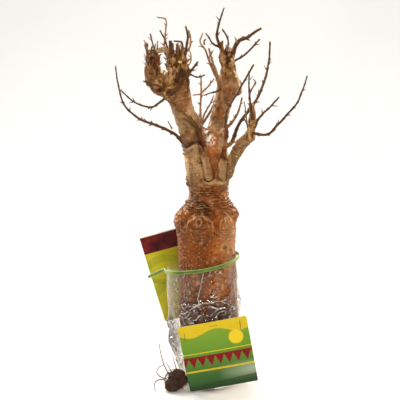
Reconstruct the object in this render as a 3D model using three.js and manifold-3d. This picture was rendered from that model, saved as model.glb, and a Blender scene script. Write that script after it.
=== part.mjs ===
// A leafless baobab sapling, 400 mm tall, whose foot stands in a clear bag with a band and two plain cards.
// Millimetres, +Z up, seen from the -Y side. The origin is the middle of the bag's flat underside.
import * as THREE from "three";
import { mergeVertices } from "three/addons/utils/BufferGeometryUtils.js";
import Module from "manifold-3d";

const wasm = await Module();
wasm.setup();

// Driving dimensions

const GAP = 0.3; // clear space between neighbouring pieces
const SNAP = 1e-4; // corners closer than this are one corner
const STEPS_PER_PAIR = 8; // steps of a smooth profile for each of its given points

const TRUNK = {
  rows: 49,
  sides: 40,
  rowShares: [0, 0.28, 0.56, 0.63, 0.7, 0.77, 0.88, 1], // share of its height at each seventh row, close at the knots
  depthShare: 0.96, // depth over width of its section
  line: [[1, 1.4], [2, 80], [-0.6, 160], [1.6, 215], [0.5, 268]], // x of the middle at each height
  profile: [[22, 1.4], [27.5, 30], [30.2, 65], [30.6, 110], [30.4, 150], [30.4, 176], [27, 191], [20.4, 208],
    [21.6, 226], [21.8, 244], [19.5, 258], [13, 268]], // radius at each height
  // Swellings: turn about the trunk (0 right, -90 front, 180 left), height, reach, half width and half height
  knots: [
    { turn: 187, z: 183, out: 6, wide: 15, tall: 11 },
    { turn: -106, z: 174, out: 4, wide: 14, tall: 13 },
    { turn: -47, z: 176, out: 3.6, wide: 11, tall: 13 },
    { turn: -4, z: 189, out: 5.5, wide: 8, tall: 7 },
    { turn: 48, z: 180, out: 4, wide: 12, tall: 12 },
    { turn: 112, z: 177, out: 4.5, wide: 13, tall: 12 },
    { turn: 176, z: 220, out: 2.6, wide: 5, tall: 5 },
  ],
  // Hoods over the swellings: turn and height of the middle, half width, rise, how far the brow stands out, and
  // how far the skin above it sinks
  hoods: [
    { turn: -105, z: 178, wide: 15, rise: 12.5, out: 2.2, sunk: 2.2 },
    { turn: -49, z: 178, wide: 8, rise: 11, out: 1.8, sunk: 1.4 },
    { turn: 48, z: 178, wide: 13, rise: 12, out: 2, sunk: 1.6 },
    { turn: 112, z: 176, wide: 14, rise: 12.5, out: 2, sunk: 1.8 },
    { turn: 182, z: 180, wide: 14, rise: 12, out: 1.4, sunk: 1.2 },
  ],
  browAt: 0.82, // where the brow and the sunk skin lie, in shares of the hood's size
  sunkAt: 1.36,
  hoodSoft: 0.28,
};

// Limbs: start, lean of each equal stretch in degrees right of upright, degrees away from the viewer, length,
// and the radius at evenly spaced stations. Each is cut clear of those above it in the list.
const BOUGHS = [
  { name: "bough_left", at: [-7, -3, 222], leans: [-10, -9, -16, -19, -9], away: -6, long: 104,
    radii: [10, 12, 11.8, 10.8, 11, 10.8] },
  { name: "bough_right", at: [3, 3, 221], leans: [8, 6, 9, 14, 15, 1], away: 7, long: 124,
    radii: [10, 10, 9.6, 9, 9.6, 11.4, 6.8] },
  { name: "bough_low_right", at: [16, -6, 218], leans: [16, 19, 27, 42], away: -12, long: 63,
    radii: [3.6, 4.4, 4.4, 4.5, 4.7] },
  { name: "stem_front_left", at: [3, -16, 222], leans: [-10, -11, -11, -12], away: -8, long: 57,
    radii: [4.2, 4.4, 4, 3.4, 2.4] },
  { name: "stem_front_right", at: [15, -11.8, 220], leans: [1, 6, 5, 6], away: -9, long: 59,
    radii: [3.8, 3.7, 3.3, 2.7, 2.2] },
  { name: "stem_rear", at: [0, 13.5, 216], leans: [-3, -5, -8, -8], away: 10, long: 58,
    radii: [4.4, 4.4, 3.8, 3.3, 2.4] },
  { name: "bough_left_stub", at: [-30, -12, 315], leans: [-66, -66, -45, -12], away: -6, long: 38,
    radii: [7.6, 8.6, 8.8, 8.2, 7.6] },
];
const BOUGH_SIDES = 12;
const ROWS_PER_STRETCH = 2;

/** A twig: start, lean of each equal stretch, degrees away, length, and diameter at the foot and the tip. */
const twig = (at, leans, away, long, foot, tip) => ({ at, leans, away, long, foot, tip });

// Masses of bare twigs. The first twig of each is the stem that meets its limb. Bristles are a sheaf of short
// shoots that a seeded rule raises from one round patch, and spurs are buds that it sets along every twig.
const MASSES = [
  { name: "twigs_left_top", seed: 11, twigs: [
    twig([-30, -14, 318], [-2, 4], -4, 30, 20.5, 18.5),
    twig([-37, -18, 335], [0, 1, -2], -6, 34, 4.4, 3.6),
    twig([-31, -16, 343], [4, 1], 2, 23, 2.6, 2),
    twig([-24, -10, 343], [-2, -2, -12, -82], 8, 32, 2.6, 1.8),
    twig([-24, -18, 342], [7, 8, 9, -12], -4, 42, 3.8, 2),
    twig([-26, -10, 344], [12, 38, 10, -12], 6, 37, 2.6, 1.8),
    twig([-35, -11, 345], [-19, -18, -21, -27], 14, 37, 2.2, 1.6),
    twig([-34, -10, 345], [-38, -23, 3, 5, -1, -75], 16, 58, 2.2, 1.5),
    twig([-23, -11, 337], [116, 110, 74], 18, 23, 2, 1.5),
    twig([-25, -11, 340], [57, 11, -16], 22, 26, 1.8, 1.2),
  ], bristles: {
    at: [-30, -15, 344], count: 11, spread: 7.8, lean: [-8, 8], away: [-6, 16], long: [14, 24],
  } },
  { name: "twigs_left_stub", seed: 23, twigs: [
    twig([-56, -16, 335], [-2, -2], -4, 15, 14.6, 12),
    twig([-54, -15, 347], [0, -7, -15], 10, 29, 2, 1.5),
    twig([-54, -15, 347], [18, 30, 74, 136], 10, 21, 2.4, 1.6),
  ], bristles: {
    at: [-56, -17, 347], count: 12, spread: 5.4, lean: [-24, 8], away: [-18, 16], long: [11, 24],
  } },
  { name: "twigs_left_knob", seed: 37, twigs: [
    twig([-34, -19, 313], [-71, -67], -35, 11, 10, 8.6),
    twig([-40, -25, 316], [-36, -60, -73, -68], -22, 31, 2.2, 1.5),
    twig([-38, -24, 315], [52, 35, 36, 38, 37], -18, 47, 3.8, 2.2),
    twig([-40, -25, 314], [-128, -122, -81, -66, -50, -42], -12, 57, 2.8, 1.3),
  ] },
  { name: "twigs_left_long", seed: 41, twigs: [
    twig([-20, -8, 256], [-37, -61, -68, -46, -16, -6], -8, 124, 3.8, 1.3),
    twig([-36, -12, 279], [-28], 0, 9, 1.6, 0.9),
  ] },
  { name: "twigs_right_top", seed: 53, twigs: [
    twig([22, 17, 336], [0, 0], 2, 17, 13, 10.4),
    twig([19, 16, 344], [-20, -17, -17, 8, 17, 19], -4, 59, 4.4, 1.3),
    twig([22, 15, 348], [-34, -24, 1], -10, 21, 3.2, 2.2),
    twig([21, 20, 347], [3, 4, -12, -33], 18, 34, 2.8, 1.6),
    twig([24, 16, 344], [12, 18, 34, 68, 53, 60], -16, 53, 6, 2.4),
    twig([24, 20, 343], [62, 60, 51, 46, 42], 22, 43, 2.5, 1.9),
    twig([12, 14, 361], [-71, -45, -27, -37], -16, 21, 2.2, 1.5),
  ] },
  { name: "twigs_right_side", seed: 61, twigs: [
    twig([18, 10, 313], [-28, -26], -34, 17, 7, 5),
    twig([13.5, 2, 323], [-29, -25, -22, -19, -33, 16], -12, 60, 3, 1.3),
    twig([-3, -7, 364], [-7, 37], -5, 7, 1.7, 1.3),
    twig([13, 1, 325], [-20, -19, -15], -20, 40, 3.2, 2.2),
    twig([14, 4, 318], [-115, -102, -110], -14, 19, 2.2, 1.2),
  ] },
  { name: "twigs_front_left", seed: 71, twigs: [
    twig([-7, -22.6, 272], [-12, -22], -6, 13, 4.6, 3.4),
    twig([-10, -24, 282], [-43, -43, -47, -54], -14, 46, 2.3, 1.5),
    twig([-9, -24, 280], [-52, -42], -22, 18, 1.7, 1.1),
    twig([-9.5, -23.5, 282], [-32, -42], 6, 15, 1.6, 1.1),
  ] },
  { name: "twigs_front_right", seed: 83, twigs: [
    twig([18.4, -19.6, 272], [5, 5], -6, 13, 4.2, 3.4),
    twig([18, -21, 281], [-126, -60, -71, -31, -6], -24, 45, 2.4, 1.5),
    twig([18, -21, 281], [5, 28, 29, 29], -14, 75, 2.8, 1.9),
    twig([19, -21, 281], [45, 33, 18, 13], 2, 36, 3.2, 1.6),
  ] },
  { name: "twigs_right_rear", seed: 97, twigs: [
    twig([14, 5, 255], [67, 51], 4, 16, 5.4, 4.4),
    twig([26, 6, 262], [21, 36, 34, 21, 12, 3], 14, 116, 3.8, 1.9),
  ] },
  { name: "twigs_low_right", seed: 101, twigs: [
    twig([36, -18.5, 267], [42, 24, 2, -5], -6, 40, 9.4, 6),
    twig([48, -22, 286], [41, 43, 49, 45, 40], 14, 37, 2.8, 1.7),
    twig([46, -22, 276], [94, 45, 40, 39, 20, 16], -10, 89, 3, 1.5),
    twig([46, -23, 290], [-11, -6, -4, 1], -10, 51, 3.4, 1.1),
    twig([43, -20, 276], [-15, -6, -9], 20, 33, 2.2, 1.1),
    twig([44, -20.5, 278], [-30, -24], 8, 16, 1.8, 1.1),
    twig([42, -27.5, 316], [22, 28, 30, -36], -8, 18, 1.7, 1.3),
  ] },
  { name: "twigs_rear", seed: 113, twigs: [
    twig([-6, 22.8, 268], [-6, -2], 6, 14, 4.6, 3.4),
    twig([-6.4, 23.6, 276], [-2, 2, 0], 8, 54, 2.6, 1.6),
    twig([-6.6, 28.4, 311], [48, 43, 38], 10, 21, 2.1, 1.4),
    twig([-6.6, 28.2, 310], [-96, -99], 10, 9, 1.7, 1.2),
    twig([-7, 24, 279], [-44, -32, -24, -20], 26, 62, 2.8, 1.4),
    twig([-6, 24, 278], [36, 28, 18, 24], 28, 64, 2.9, 1.4),
    twig([-6, 24, 279], [20, 34, 26], 50, 46, 2.4, 1.3),
    twig([-7, 24, 277], [-20, -34, -30], 46, 40, 2.2, 1.2),
  ] },
];
const TWIG = { sides: 5, rows: 4, thick: 7 }; // fewest rows, and the diameter above which it is round
const BRISTLE = { sides: 3, rows: 2, foot: 2.4, tip: 1.1, nextTurn: 137.5 };
const SPUR = {
  sides: 3,
  every: 18,
  from: 0.3, // shares of the twig's length between which they stand
  to: 0.85,
  long: [2.2, 5],
  lean: [28, 62],
  away: 50,
  foot: 0.75, // share of the twig's diameter
  tip: 0.5,
};

const BAG = {
  wall: 0.8,
  sides: 32,
  rows: 9,
  depthShare: 0.94,
  profile: [[27, 0], [29.5, 5], [33, 24], [36, 45], [36.6, 68], [36, 92], [33.6, 116], [32.4, 142]],
  corner: [[0, 0], [1, 24], [5, 45], [6, 80], [10, 116], [12.6, 142]], // how far its left corner stands out
  cornerTurn: 176,
  cornerWide: 34, // degrees to each side
  rimAtAxis: 138.4, // height of the mouth over the origin
  rimRise: 0.219, // the mouth rises to the right by this much for each millimetre
};
const BAND = {
  wide: 3.6,
  thick: 1.3,
  belowRim: 3.4,
  sides: 6,
  steps: 60,
  from: -184, // turns between which it lies on the bag
  to: 40,
  turnStep: 8,
  slack: 0.5, // how much further out than the gap its line runs
  backShares: [0.15, 0.4, 0.7, 0.96], // its stations behind the rear card
  cardDrop: 0.46, // share of the rear card's height at which it rounds the left edge
};

const CARD = { thick: 0.7, round: 1.2, roundSteps: 3 };
const FRONT_CARD = { wide: 73, tall: 72.5, turn: 10.5, x: 11.4, z: 44.3 };
const REAR_CARD = { wide: 73, tall: 100, turn: 16, x: -25, z: 114.4 };

const ROOT_TIP = {
  x: -33,
  y: -24.5,
  wide: 12, // half sizes
  deep: 11,
  high: 11.8,
  lumps: 0.06,
  waves: [5, 7, 4], // how often its lumps come along x, y and z
  middle: 0.9, // height of its middle in half heights, so that its underside is flat
};

// Finishes

const finish = (color, roughness) => new THREE.MeshStandardMaterial({ color, roughness, metalness: 0 });
const BARK = finish(0x9a5f2e, 0.5);
const PALE_BARK = finish(0xa88a6c, 0.6);
const TWIG_BARK = finish(0x5d3a20, 0.6);
const ROOT = finish(0x3a2317, 0.95);
const FILM = finish(0xf2f2ee, 0.08);
FILM.transparent = true;
FILM.opacity = 0.25;
const RUBBER = finish(0x6cb33c, 0.5);
const GREEN_CARD = finish(0x6f9a2c, 0.3);
const YELLOW_CARD = finish(0xc2b322, 0.35);

// Helpers

const radians = THREE.MathUtils.degToRad;
const lerp = THREE.MathUtils.lerp;

/** Random numbers from 0 to 1 that are the same on every run, by mixing the bits of a counter. */
function seeded(seed) {
  let state = seed;
  return () => {
    state = (state + 0x6d2b79f5) | 0;
    let mixed = Math.imul(state ^ (state >>> 15), 1 | state);
    mixed = (mixed + Math.imul(mixed ^ (mixed >>> 7), 61 | mixed)) ^ mixed;
    return ((mixed ^ (mixed >>> 14)) >>> 0) / 4294967296;
  };
}

/** The same [value, height] pairs with many more between them on a smooth curve. */
function smooth(pairs) {
  const curve = new THREE.SplineCurve(pairs.map(([value, height]) => new THREE.Vector2(value, height)));
  return curve.getPoints(pairs.length * STEPS_PER_PAIR).map((point) => [point.x, point.y]);
}

/** Value at a height from [value, height] pairs, along straight lines. */
function atHeight(pairs, z) {
  const above = pairs.findIndex(([, height]) => height >= z);
  if (above <= 0) return above ? pairs.at(-1)[0] : pairs[0][0];
  const [low, high] = [pairs[above - 1], pairs[above]];
  return lerp(low[0], high[0], (z - low[1]) / (high[1] - low[1]));
}

/** Value at a share from 0 to 1 of evenly spaced stations. */
function atShare(stations, share) {
  const place = share * (stations.length - 1);
  const low = Math.min(Math.floor(place), stations.length - 2);
  return lerp(stations[low], stations[low + 1], place - low);
}

/** Angle from one turn to another, in degrees from -180 to 180. */
const turnBetween = (a, b) => THREE.MathUtils.euclideanModulo(b - a + 180, 360) - 180;

const bell = (x) => Math.exp(-x * x);

/** The solid inside a closed geometry. */
function solidOf(geometry) {
  const bare = new THREE.BufferGeometry().setAttribute("position", geometry.attributes.position);
  if (geometry.index) bare.setIndex(geometry.index);
  const merged = mergeVertices(bare, SNAP);
  return new wasm.Manifold(new wasm.Mesh({
    numProp: 3,
    vertProperties: merged.attributes.position.array,
    triVerts: new Uint32Array(merged.index.array),
  }));
}

/** A geometry of a solid's faces. */
function geometryOf(solid) {
  const { vertProperties, triVerts } = solid.getMesh();
  const geometry = new THREE.BufferGeometry()
    .setAttribute("position", new THREE.BufferAttribute(vertProperties, 3))
    .setIndex(new THREE.BufferAttribute(triVerts, 1));
  geometry.computeVertexNormals();
  return geometry;
}

/** The largest of a solid's separate bodies, so that no loose scrap stays. */
function largest(solid) {
  const bodies = solid.decompose();
  return bodies.reduce((best, body) => (body.volume() > best.volume() ? body : best));
}

/** Direction that leans to the right of upright and away from the viewer, in degrees. */
function heading(lean, away) {
  const upright = new THREE.Vector3(Math.sin(radians(lean)), 0, Math.cos(radians(lean)));
  return upright.multiplyScalar(Math.cos(radians(away))).setY(Math.sin(radians(away)));
}

/** Curve that leans by each angle in turn over equal stretches. */
function leaningPath({ at, leans, away, long }) {
  const points = [new THREE.Vector3(...at)];
  for (const lean of leans) {
    points.push(points.at(-1).clone().addScaledVector(heading(lean, away), long / leans.length));
  }
  return new THREE.CatmullRomCurve3(points);
}

/** A cylinder bent along a path, with a radius for each share of its length and turn about it in degrees. Its rows
 * stand at even shares, or at those that rowShares holds for evenly spaced rows. */
function limb(path, rows, sides, radiusAt, grow = 0, rowShares = [0, 1]) {
  const geometry = new THREE.CylinderGeometry(1, 1, 1, sides, rows);
  const spots = geometry.attributes.position;
  const rear = new THREE.Vector3(0, 1, 0);
  for (let i = 0; i < spots.count; i++) {
    const share = atShare(rowShares, Math.round((spots.getY(i) + 0.5) * rows) / rows);
    const ahead = path.getTangentAt(share);
    const away = rear.clone().addScaledVector(ahead, -ahead.y).normalize();
    const side = away.clone().cross(ahead);
    const across = spots.getX(i);
    const back = -spots.getZ(i);
    const turn = THREE.MathUtils.radToDeg(Math.atan2(back, across));
    const radius = radiusAt(share, turn) + grow;
    const past = share === 0 ? -grow : share === 1 ? grow : 0;
    const spot = path.getPointAt(share).addScaledVector(ahead, past);
    spot.addScaledVector(side, across * radius).addScaledVector(away, back * radius);
    spots.setXYZ(i, spot.x, spot.y, spot.z);
  }
  return solidOf(geometry);
}

// Trunk

const trunkProfile = smooth(TRUNK.profile);

/** How far the trunk's knots push its surface out at a turn and height. */
function knotsAt(turn, z) {
  return TRUNK.knots.reduce((sum, knot) => {
    const across = radians(turnBetween(knot.turn, turn)) * atHeight(trunkProfile, knot.z);
    return sum + knot.out * bell(across / knot.wide) * bell((z - knot.z) / knot.tall);
  }, 0);
}

/** How far the hoods push its surface out along their brows, and in above them. */
function hoodsAt(turn, z) {
  return TRUNK.hoods.reduce((sum, hood) => {
    const across = radians(turnBetween(hood.turn, turn)) * atHeight(trunkProfile, hood.z);
    const size = Math.hypot(across / hood.wide, (z - hood.z) / hood.rise);
    const brow = hood.out * bell((size - TRUNK.browAt) / TRUNK.hoodSoft);
    const sunk = hood.sunk * bell((size - TRUNK.sunkAt) / TRUNK.hoodSoft);
    return sum + (brow - sunk) * THREE.MathUtils.smoothstep(z - hood.z, -4, 4);
  }, 0);
}

function trunkSolid(grow) {
  const path = new THREE.CatmullRomCurve3(TRUNK.line.map(([x, z]) => new THREE.Vector3(x, 0, z)));
  return limb(path, TRUNK.rows, TRUNK.sides, (share, turn) => {
    const z = path.getPointAt(share).z;
    const flat = Math.hypot(Math.cos(radians(turn)), Math.sin(radians(turn)) * TRUNK.depthShare);
    return atHeight(trunkProfile, z) * flat + knotsAt(turn, z) + hoodsAt(turn, z);
  }, grow, TRUNK.rowShares);
}

// Boughs, each cut clear of the trunk and of the boughs before it

const trunk = trunkSolid(0);
const cutters = [trunkSolid(GAP)];

function boughSolid(bough, grow) {
  const rows = bough.leans.length * ROWS_PER_STRETCH;
  return limb(leaningPath(bough), rows, BOUGH_SIDES, (share) => atShare(bough.radii, share), grow);
}

const boughs = BOUGHS.map((bough) => {
  const clear = cutters.reduce((solid, cutter) => solid.subtract(cutter), boughSolid(bough, 0));
  cutters.push(boughSolid(bough, GAP));
  return { name: bough.name, solid: largest(clear) };
});

// Masses of twigs

function twigSolid(spec, sides, fewestRows) {
  const rows = Math.max(spec.leans.length, fewestRows);
  return limb(leaningPath(spec), rows, sides, (share) => lerp(spec.foot, spec.tip, share) / 2);
}

const between = ([low, high], share) => lerp(low, high, share);

/** A sheaf of short straight shoots from one round patch. */
function bristleTwigs({ at, count, spread, lean, away, long }, random) {
  return Array.from({ length: count }, (_, i) => {
    const turn = radians(i * BRISTLE.nextTurn);
    const out = spread * Math.sqrt((i + 0.5) / count);
    const foot = [at[0] + Math.cos(turn) * out, at[1] + Math.sin(turn) * out, at[2]];
    const leans = [between(lean, random()), between(lean, random())];
    return twig(foot, leans, between(away, random()), between(long, random()), BRISTLE.foot, BRISTLE.tip);
  });
}

/** Buds and short side shoots along one twig, on alternate sides. */
function spurTwigs(spec, random) {
  const path = leaningPath(spec);
  const count = Math.floor(spec.long / SPUR.every);
  const spurs = [];
  for (let i = 0; i < count; i++) {
    const share = lerp(SPUR.from, SPUR.to, (i + random()) / count);
    const ahead = path.getTangentAt(share);
    const sideways = (i % 2 ? 1 : -1) * between(SPUR.lean, random());
    const lean = THREE.MathUtils.radToDeg(Math.atan2(ahead.x, ahead.z)) + sideways;
    const away = lerp(-SPUR.away, SPUR.away, random());
    const foot = lerp(spec.foot, spec.tip, share) * SPUR.foot;
    const long = between(SPUR.long, random()) + foot;
    spurs.push(twig(path.getPointAt(share).toArray(), [lean], away, long, foot, SPUR.tip));
  }
  return spurs;
}

const touches = (solid) => cutters.some((cutter) => cutter.intersect(solid).volume() > 0);

function massSolid({ seed, twigs, bristles }) {
  const random = seeded(seed);
  const sheaf = bristles ? bristleTwigs(bristles, random) : [];
  const spurs = twigs.filter((spec) => spec.foot < TWIG.thick).flatMap((spec) => spurTwigs(spec, random));
  const solids = [
    ...twigs.map((spec) => twigSolid(spec, spec.foot > TWIG.thick ? BOUGH_SIDES : TWIG.sides, TWIG.rows)),
    ...sheaf.map((spec) => twigSolid(spec, BRISTLE.sides, BRISTLE.rows)),
    ...spurs.map((spec) => twigSolid(spec, SPUR.sides, 1)).filter((solid) => !touches(solid)),
  ];
  const joined = solids.reduce((mass, solid) => mass.add(solid));
  return largest(cutters.reduce((mass, cutter) => mass.subtract(cutter), joined));
}

// Bag, band and cards

const bagProfile = smooth(BAG.profile);
const bagCorner = smooth(BAG.corner);

/** A point on the bag's outer face at a turn and height, moved out by a distance. */
function bagPoint(turn, z, out = 0) {
  const pulled = atHeight(bagCorner, z) * bell(turnBetween(BAG.cornerTurn, turn) / BAG.cornerWide);
  const radius = atHeight(bagProfile, z) + pulled + out;
  const angle = radians(turn);
  return new THREE.Vector3(Math.cos(angle) * radius, Math.sin(angle) * radius * BAG.depthShare, z);
}

/** Height of the bag's mouth at a turn. */
const rimAt = (turn) => BAG.rimAtAxis + BAG.rimRise * bagPoint(turn, BAG.rimAtAxis).x;

/** The space inside the bag's outer face moved in by a distance, from a floor height to above its mouth. */
function bagFill(inward, floor, above) {
  const geometry = new THREE.CylinderGeometry(1, 1, 1, BAG.sides, BAG.rows);
  const spots = geometry.attributes.position;
  for (let i = 0; i < spots.count; i++) {
    const [across, back] = [spots.getX(i), -spots.getZ(i)];
    const turn = THREE.MathUtils.radToDeg(Math.atan2(back, across));
    const share = spots.getY(i) + 0.5;
    const z = lerp(floor, rimAt(turn) + above, share);
    const spot = bagPoint(turn, z, -inward).multiplyScalar(Math.hypot(across, back));
    spots.setXYZ(i, spot.x, spot.y, Math.hypot(across, back) ? z : lerp(floor, BAG.rimAtAxis + above, share));
  }
  return solidOf(geometry);
}

function bagSolid() {
  return bagFill(0, 0, 0).subtract(bagFill(BAG.wall, BAG.wall, 1));
}

/** The band's middle line: round the front of the bag, then behind the rear card. */
function bandPath() {
  const out = GAP + BAND.thick / 2 + BAND.slack;
  const front = [];
  for (let turn = BAND.from; turn <= BAND.to; turn += BAND.turnStep) {
    front.push(bagPoint(turn, rimAt(turn) - BAND.belowRim, out));
  }
  const behind = bagBack() + GAP + CARD.thick + out;
  const edge = cardPoint(REAR_CARD, -REAR_CARD.wide / 2, REAR_CARD.tall * (0.5 - BAND.cardDrop));
  const corner = new THREE.Vector3(edge.x - out - BAND.thick, bagBack() + GAP, edge.z);
  const back = BAND.backShares.map((share) => new THREE.Vector3(
    lerp(front.at(-1).x, corner.x, share), behind, lerp(front.at(-1).z, corner.z, share)));
  return new THREE.CatmullRomCurve3([...front, ...back, corner], true, "centripetal");
}

/** A ring bent along a closed path that runs anticlockwise from above. */
function bandSolid() {
  const path = bandPath();
  const geometry = new THREE.TorusGeometry(1, 0.5, BAND.sides, BAND.steps);
  const spots = geometry.attributes.position;
  const up = new THREE.Vector3(0, 0, 1);
  for (let i = 0; i < spots.count; i++) {
    const [x, y] = [spots.getX(i), spots.getY(i)];
    const share = THREE.MathUtils.euclideanModulo(Math.atan2(y, x) / (2 * Math.PI), 1);
    const ahead = path.getTangentAt(share);
    const out = ahead.clone().cross(up).normalize();
    const rise = out.clone().cross(ahead);
    const spot = path.getPointAt(share).addScaledVector(out, (Math.hypot(x, y) - 1) * BAND.thick);
    spot.addScaledVector(rise, spots.getZ(i) * BAND.wide);
    spots.setXYZ(i, spot.x, spot.y, spot.z);
  }
  return solidOf(geometry);
}

/** A point of a card's face from its middle, right and up along its own turned sides. */
function cardPoint({ turn, x, z }, right, up) {
  const [across, rise] = [Math.cos(radians(turn)), Math.sin(radians(turn))];
  return new THREE.Vector3(x + right * across - up * rise, 0, z + right * rise + up * across);
}

/** A flat card with rounded corners. */
function cardGeometry({ wide, tall }) {
  const [right, top, round] = [wide / 2, tall / 2, CARD.round];
  const outline = new THREE.Shape()
    .moveTo(round - right, -top)
    .lineTo(right - round, -top)
    .absarc(right - round, round - top, round, -Math.PI / 2, 0)
    .lineTo(right, top - round)
    .absarc(right - round, top - round, round, 0, Math.PI / 2)
    .lineTo(round - right, top)
    .absarc(round - right, top - round, round, Math.PI / 2, Math.PI)
    .lineTo(-right, round - top)
    .absarc(round - right, round - top, round, Math.PI, Math.PI * 1.5);
  const depth = CARD.thick;
  return new THREE.ExtrudeGeometry(outline, { depth, bevelEnabled: false, curveSegments: CARD.roundSteps });
}

const bagFront = () => Math.min(...BAG.profile.map(([, z]) => bagPoint(-90, z).y));
const bagBack = () => Math.max(...BAG.profile.map(([, z]) => bagPoint(90, z).y));

// Root tip, a lumpy end of root that rests against the bag's lower left

function rootTipSolid(bag) {
  const geometry = new THREE.SphereGeometry(1, 18, 12);
  const spots = geometry.attributes.position;
  const [waveX, waveY, waveZ] = ROOT_TIP.waves;
  for (let i = 0; i < spots.count; i++) {
    const spot = new THREE.Vector3().fromBufferAttribute(spots, i);
    const wave = Math.sin(spot.x * waveX) * Math.cos(spot.z * waveZ) + Math.sin(spot.y * waveY);
    spot.multiplyScalar(1 + ROOT_TIP.lumps * wave);
    const rise = Math.max(spot.z + ROOT_TIP.middle, 0) * ROOT_TIP.high + GAP;
    spots.setXYZ(i, ROOT_TIP.x + spot.x * ROOT_TIP.wide, ROOT_TIP.y + spot.y * ROOT_TIP.deep, rise);
  }
  return largest(solidOf(geometry).subtract(bag));
}

// Assembly

const sapling = new THREE.Group();
sapling.name = "baobab_sapling";

function add(name, geometry, material) {
  const mesh = new THREE.Mesh(geometry, material);
  mesh.name = name;
  sapling.add(mesh);
  return mesh;
}

/** A card that stands upright, turned in its own plane, with its rear face at a depth. */
function addCard(name, card, rearY, material) {
  const mesh = add(name, cardGeometry(card), material);
  mesh.position.set(card.x, rearY, card.z);
  mesh.rotation.set(Math.PI / 2, 0, radians(card.turn));
}

add("trunk", geometryOf(trunk), BARK);
for (const { name, solid } of boughs) add(name, geometryOf(solid), PALE_BARK);
for (const mass of MASSES) add(mass.name, geometryOf(massSolid(mass)), TWIG_BARK);
add("bag", geometryOf(bagSolid()), FILM);
add("band", geometryOf(bandSolid()), RUBBER);
addCard("card_front", FRONT_CARD, bagFront() - GAP, GREEN_CARD);
addCard("card_rear", REAR_CARD, bagBack() + GAP + CARD.thick, YELLOW_CARD);
add("root_tip", geometryOf(rootTipSolid(bagFill(-GAP, 0, 0))), ROOT);

export default sapling;
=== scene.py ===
"""The looks of a leafless baobab sapling whose foot stands in a clear bag with a band and two cards.
Lengths are in millimetres until a mesh is made. The scene is in metres, +Z up, and seen from the -Y side."""
import itertools
import math

import bpy
import numpy as np
import openvdb
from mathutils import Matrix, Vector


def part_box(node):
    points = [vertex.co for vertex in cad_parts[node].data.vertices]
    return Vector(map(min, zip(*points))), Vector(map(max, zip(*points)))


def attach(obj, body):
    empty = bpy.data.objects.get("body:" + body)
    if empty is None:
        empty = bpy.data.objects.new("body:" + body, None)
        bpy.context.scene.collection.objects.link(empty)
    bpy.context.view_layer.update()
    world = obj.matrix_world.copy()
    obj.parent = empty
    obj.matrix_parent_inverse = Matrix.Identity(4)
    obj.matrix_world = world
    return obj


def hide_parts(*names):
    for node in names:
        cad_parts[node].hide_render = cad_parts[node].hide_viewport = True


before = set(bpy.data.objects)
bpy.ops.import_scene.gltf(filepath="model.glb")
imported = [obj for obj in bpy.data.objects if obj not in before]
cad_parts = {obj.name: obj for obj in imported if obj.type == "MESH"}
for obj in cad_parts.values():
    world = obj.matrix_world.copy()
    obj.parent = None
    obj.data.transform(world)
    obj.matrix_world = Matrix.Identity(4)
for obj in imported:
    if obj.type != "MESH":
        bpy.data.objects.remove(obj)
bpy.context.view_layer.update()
MM = 0.001

# Numbers of the part's solids, in millimetres and degrees

GAP = 0.3
# Trunk: x and height of its middle line, then radius and height of its side
TRUNK_LINE = [(1, 1.4), (2, 80), (-0.6, 160), (1.6, 215), (0.5, 268)]
TRUNK_PROFILE = [(22, 1.4), (27.5, 30), (30.2, 65), (30.6, 110), (30.4, 150), (30.4, 176), (27, 191),
                 (20.4, 208), (21.6, 226), (21.8, 244), (19.5, 258), (13, 268)]
TRUNK_DEPTH, TRUNK_FOOT, TRUNK_TOP = 0.96, 1.4, 268
# Swellings: turn about the trunk (0 right, -90 front, 180 left), height, reach, half width and half height
KNOTS = [(187, 183, 6, 15, 11), (-106, 174, 4, 14, 13), (-47, 176, 3.6, 11, 13), (-4, 189, 5.5, 8, 7),
         (48, 180, 4, 12, 12), (112, 177, 4.5, 13, 12), (176, 220, 2.6, 5, 5)]
# Hoods over the swellings: middle's turn and height, half width, rise, brow's reach and depth above it
HOODS = [(-105, 178, 15, 12.5, 2.2, 2.2), (-49, 178, 8, 11, 1.8, 1.4), (48, 178, 13, 12, 2, 1.6),
         (112, 176, 14, 12.5, 2, 1.8), (182, 180, 14, 12, 1.4, 1.2)]
BROW_AT, SUNK_AT, HOOD_SOFT = 0.82, 1.36, 0.28

# Limbs: start, lean of each equal stretch, degrees away, length and radii at evenly spaced stations
BOUGHS = {
    "bough_left": ((-7, -3, 222), (-10, -9, -16, -19, -9), -6, 104, (10, 12, 11.8, 10.8, 11, 10.8)),
    "bough_right": ((3, 3, 221), (8, 6, 9, 14, 15, 1), 7, 124, (10, 10, 9.6, 9, 9.6, 11.4, 6.8)),
    "bough_low_right": ((16, -6, 218), (16, 19, 27, 42), -12, 63, (3.6, 4.4, 4.4, 4.5, 4.7)),
    "stem_front_left": ((3, -16, 222), (-10, -11, -11, -12), -8, 57, (4.2, 4.4, 4, 3.4, 2.4)),
    "stem_front_right": ((15, -11.8, 220), (1, 6, 5, 6), -9, 59, (3.8, 3.7, 3.3, 2.7, 2.2)),
    "stem_rear": ((0, 13.5, 216), (-3, -5, -8, -8), 10, 58, (4.4, 4.4, 3.8, 3.3, 2.4)),
    "bough_left_stub": ((-30, -12, 315), (-66, -66, -45, -12), -6, 38, (7.6, 8.6, 8.8, 8.2, 7.6)),
}

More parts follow.
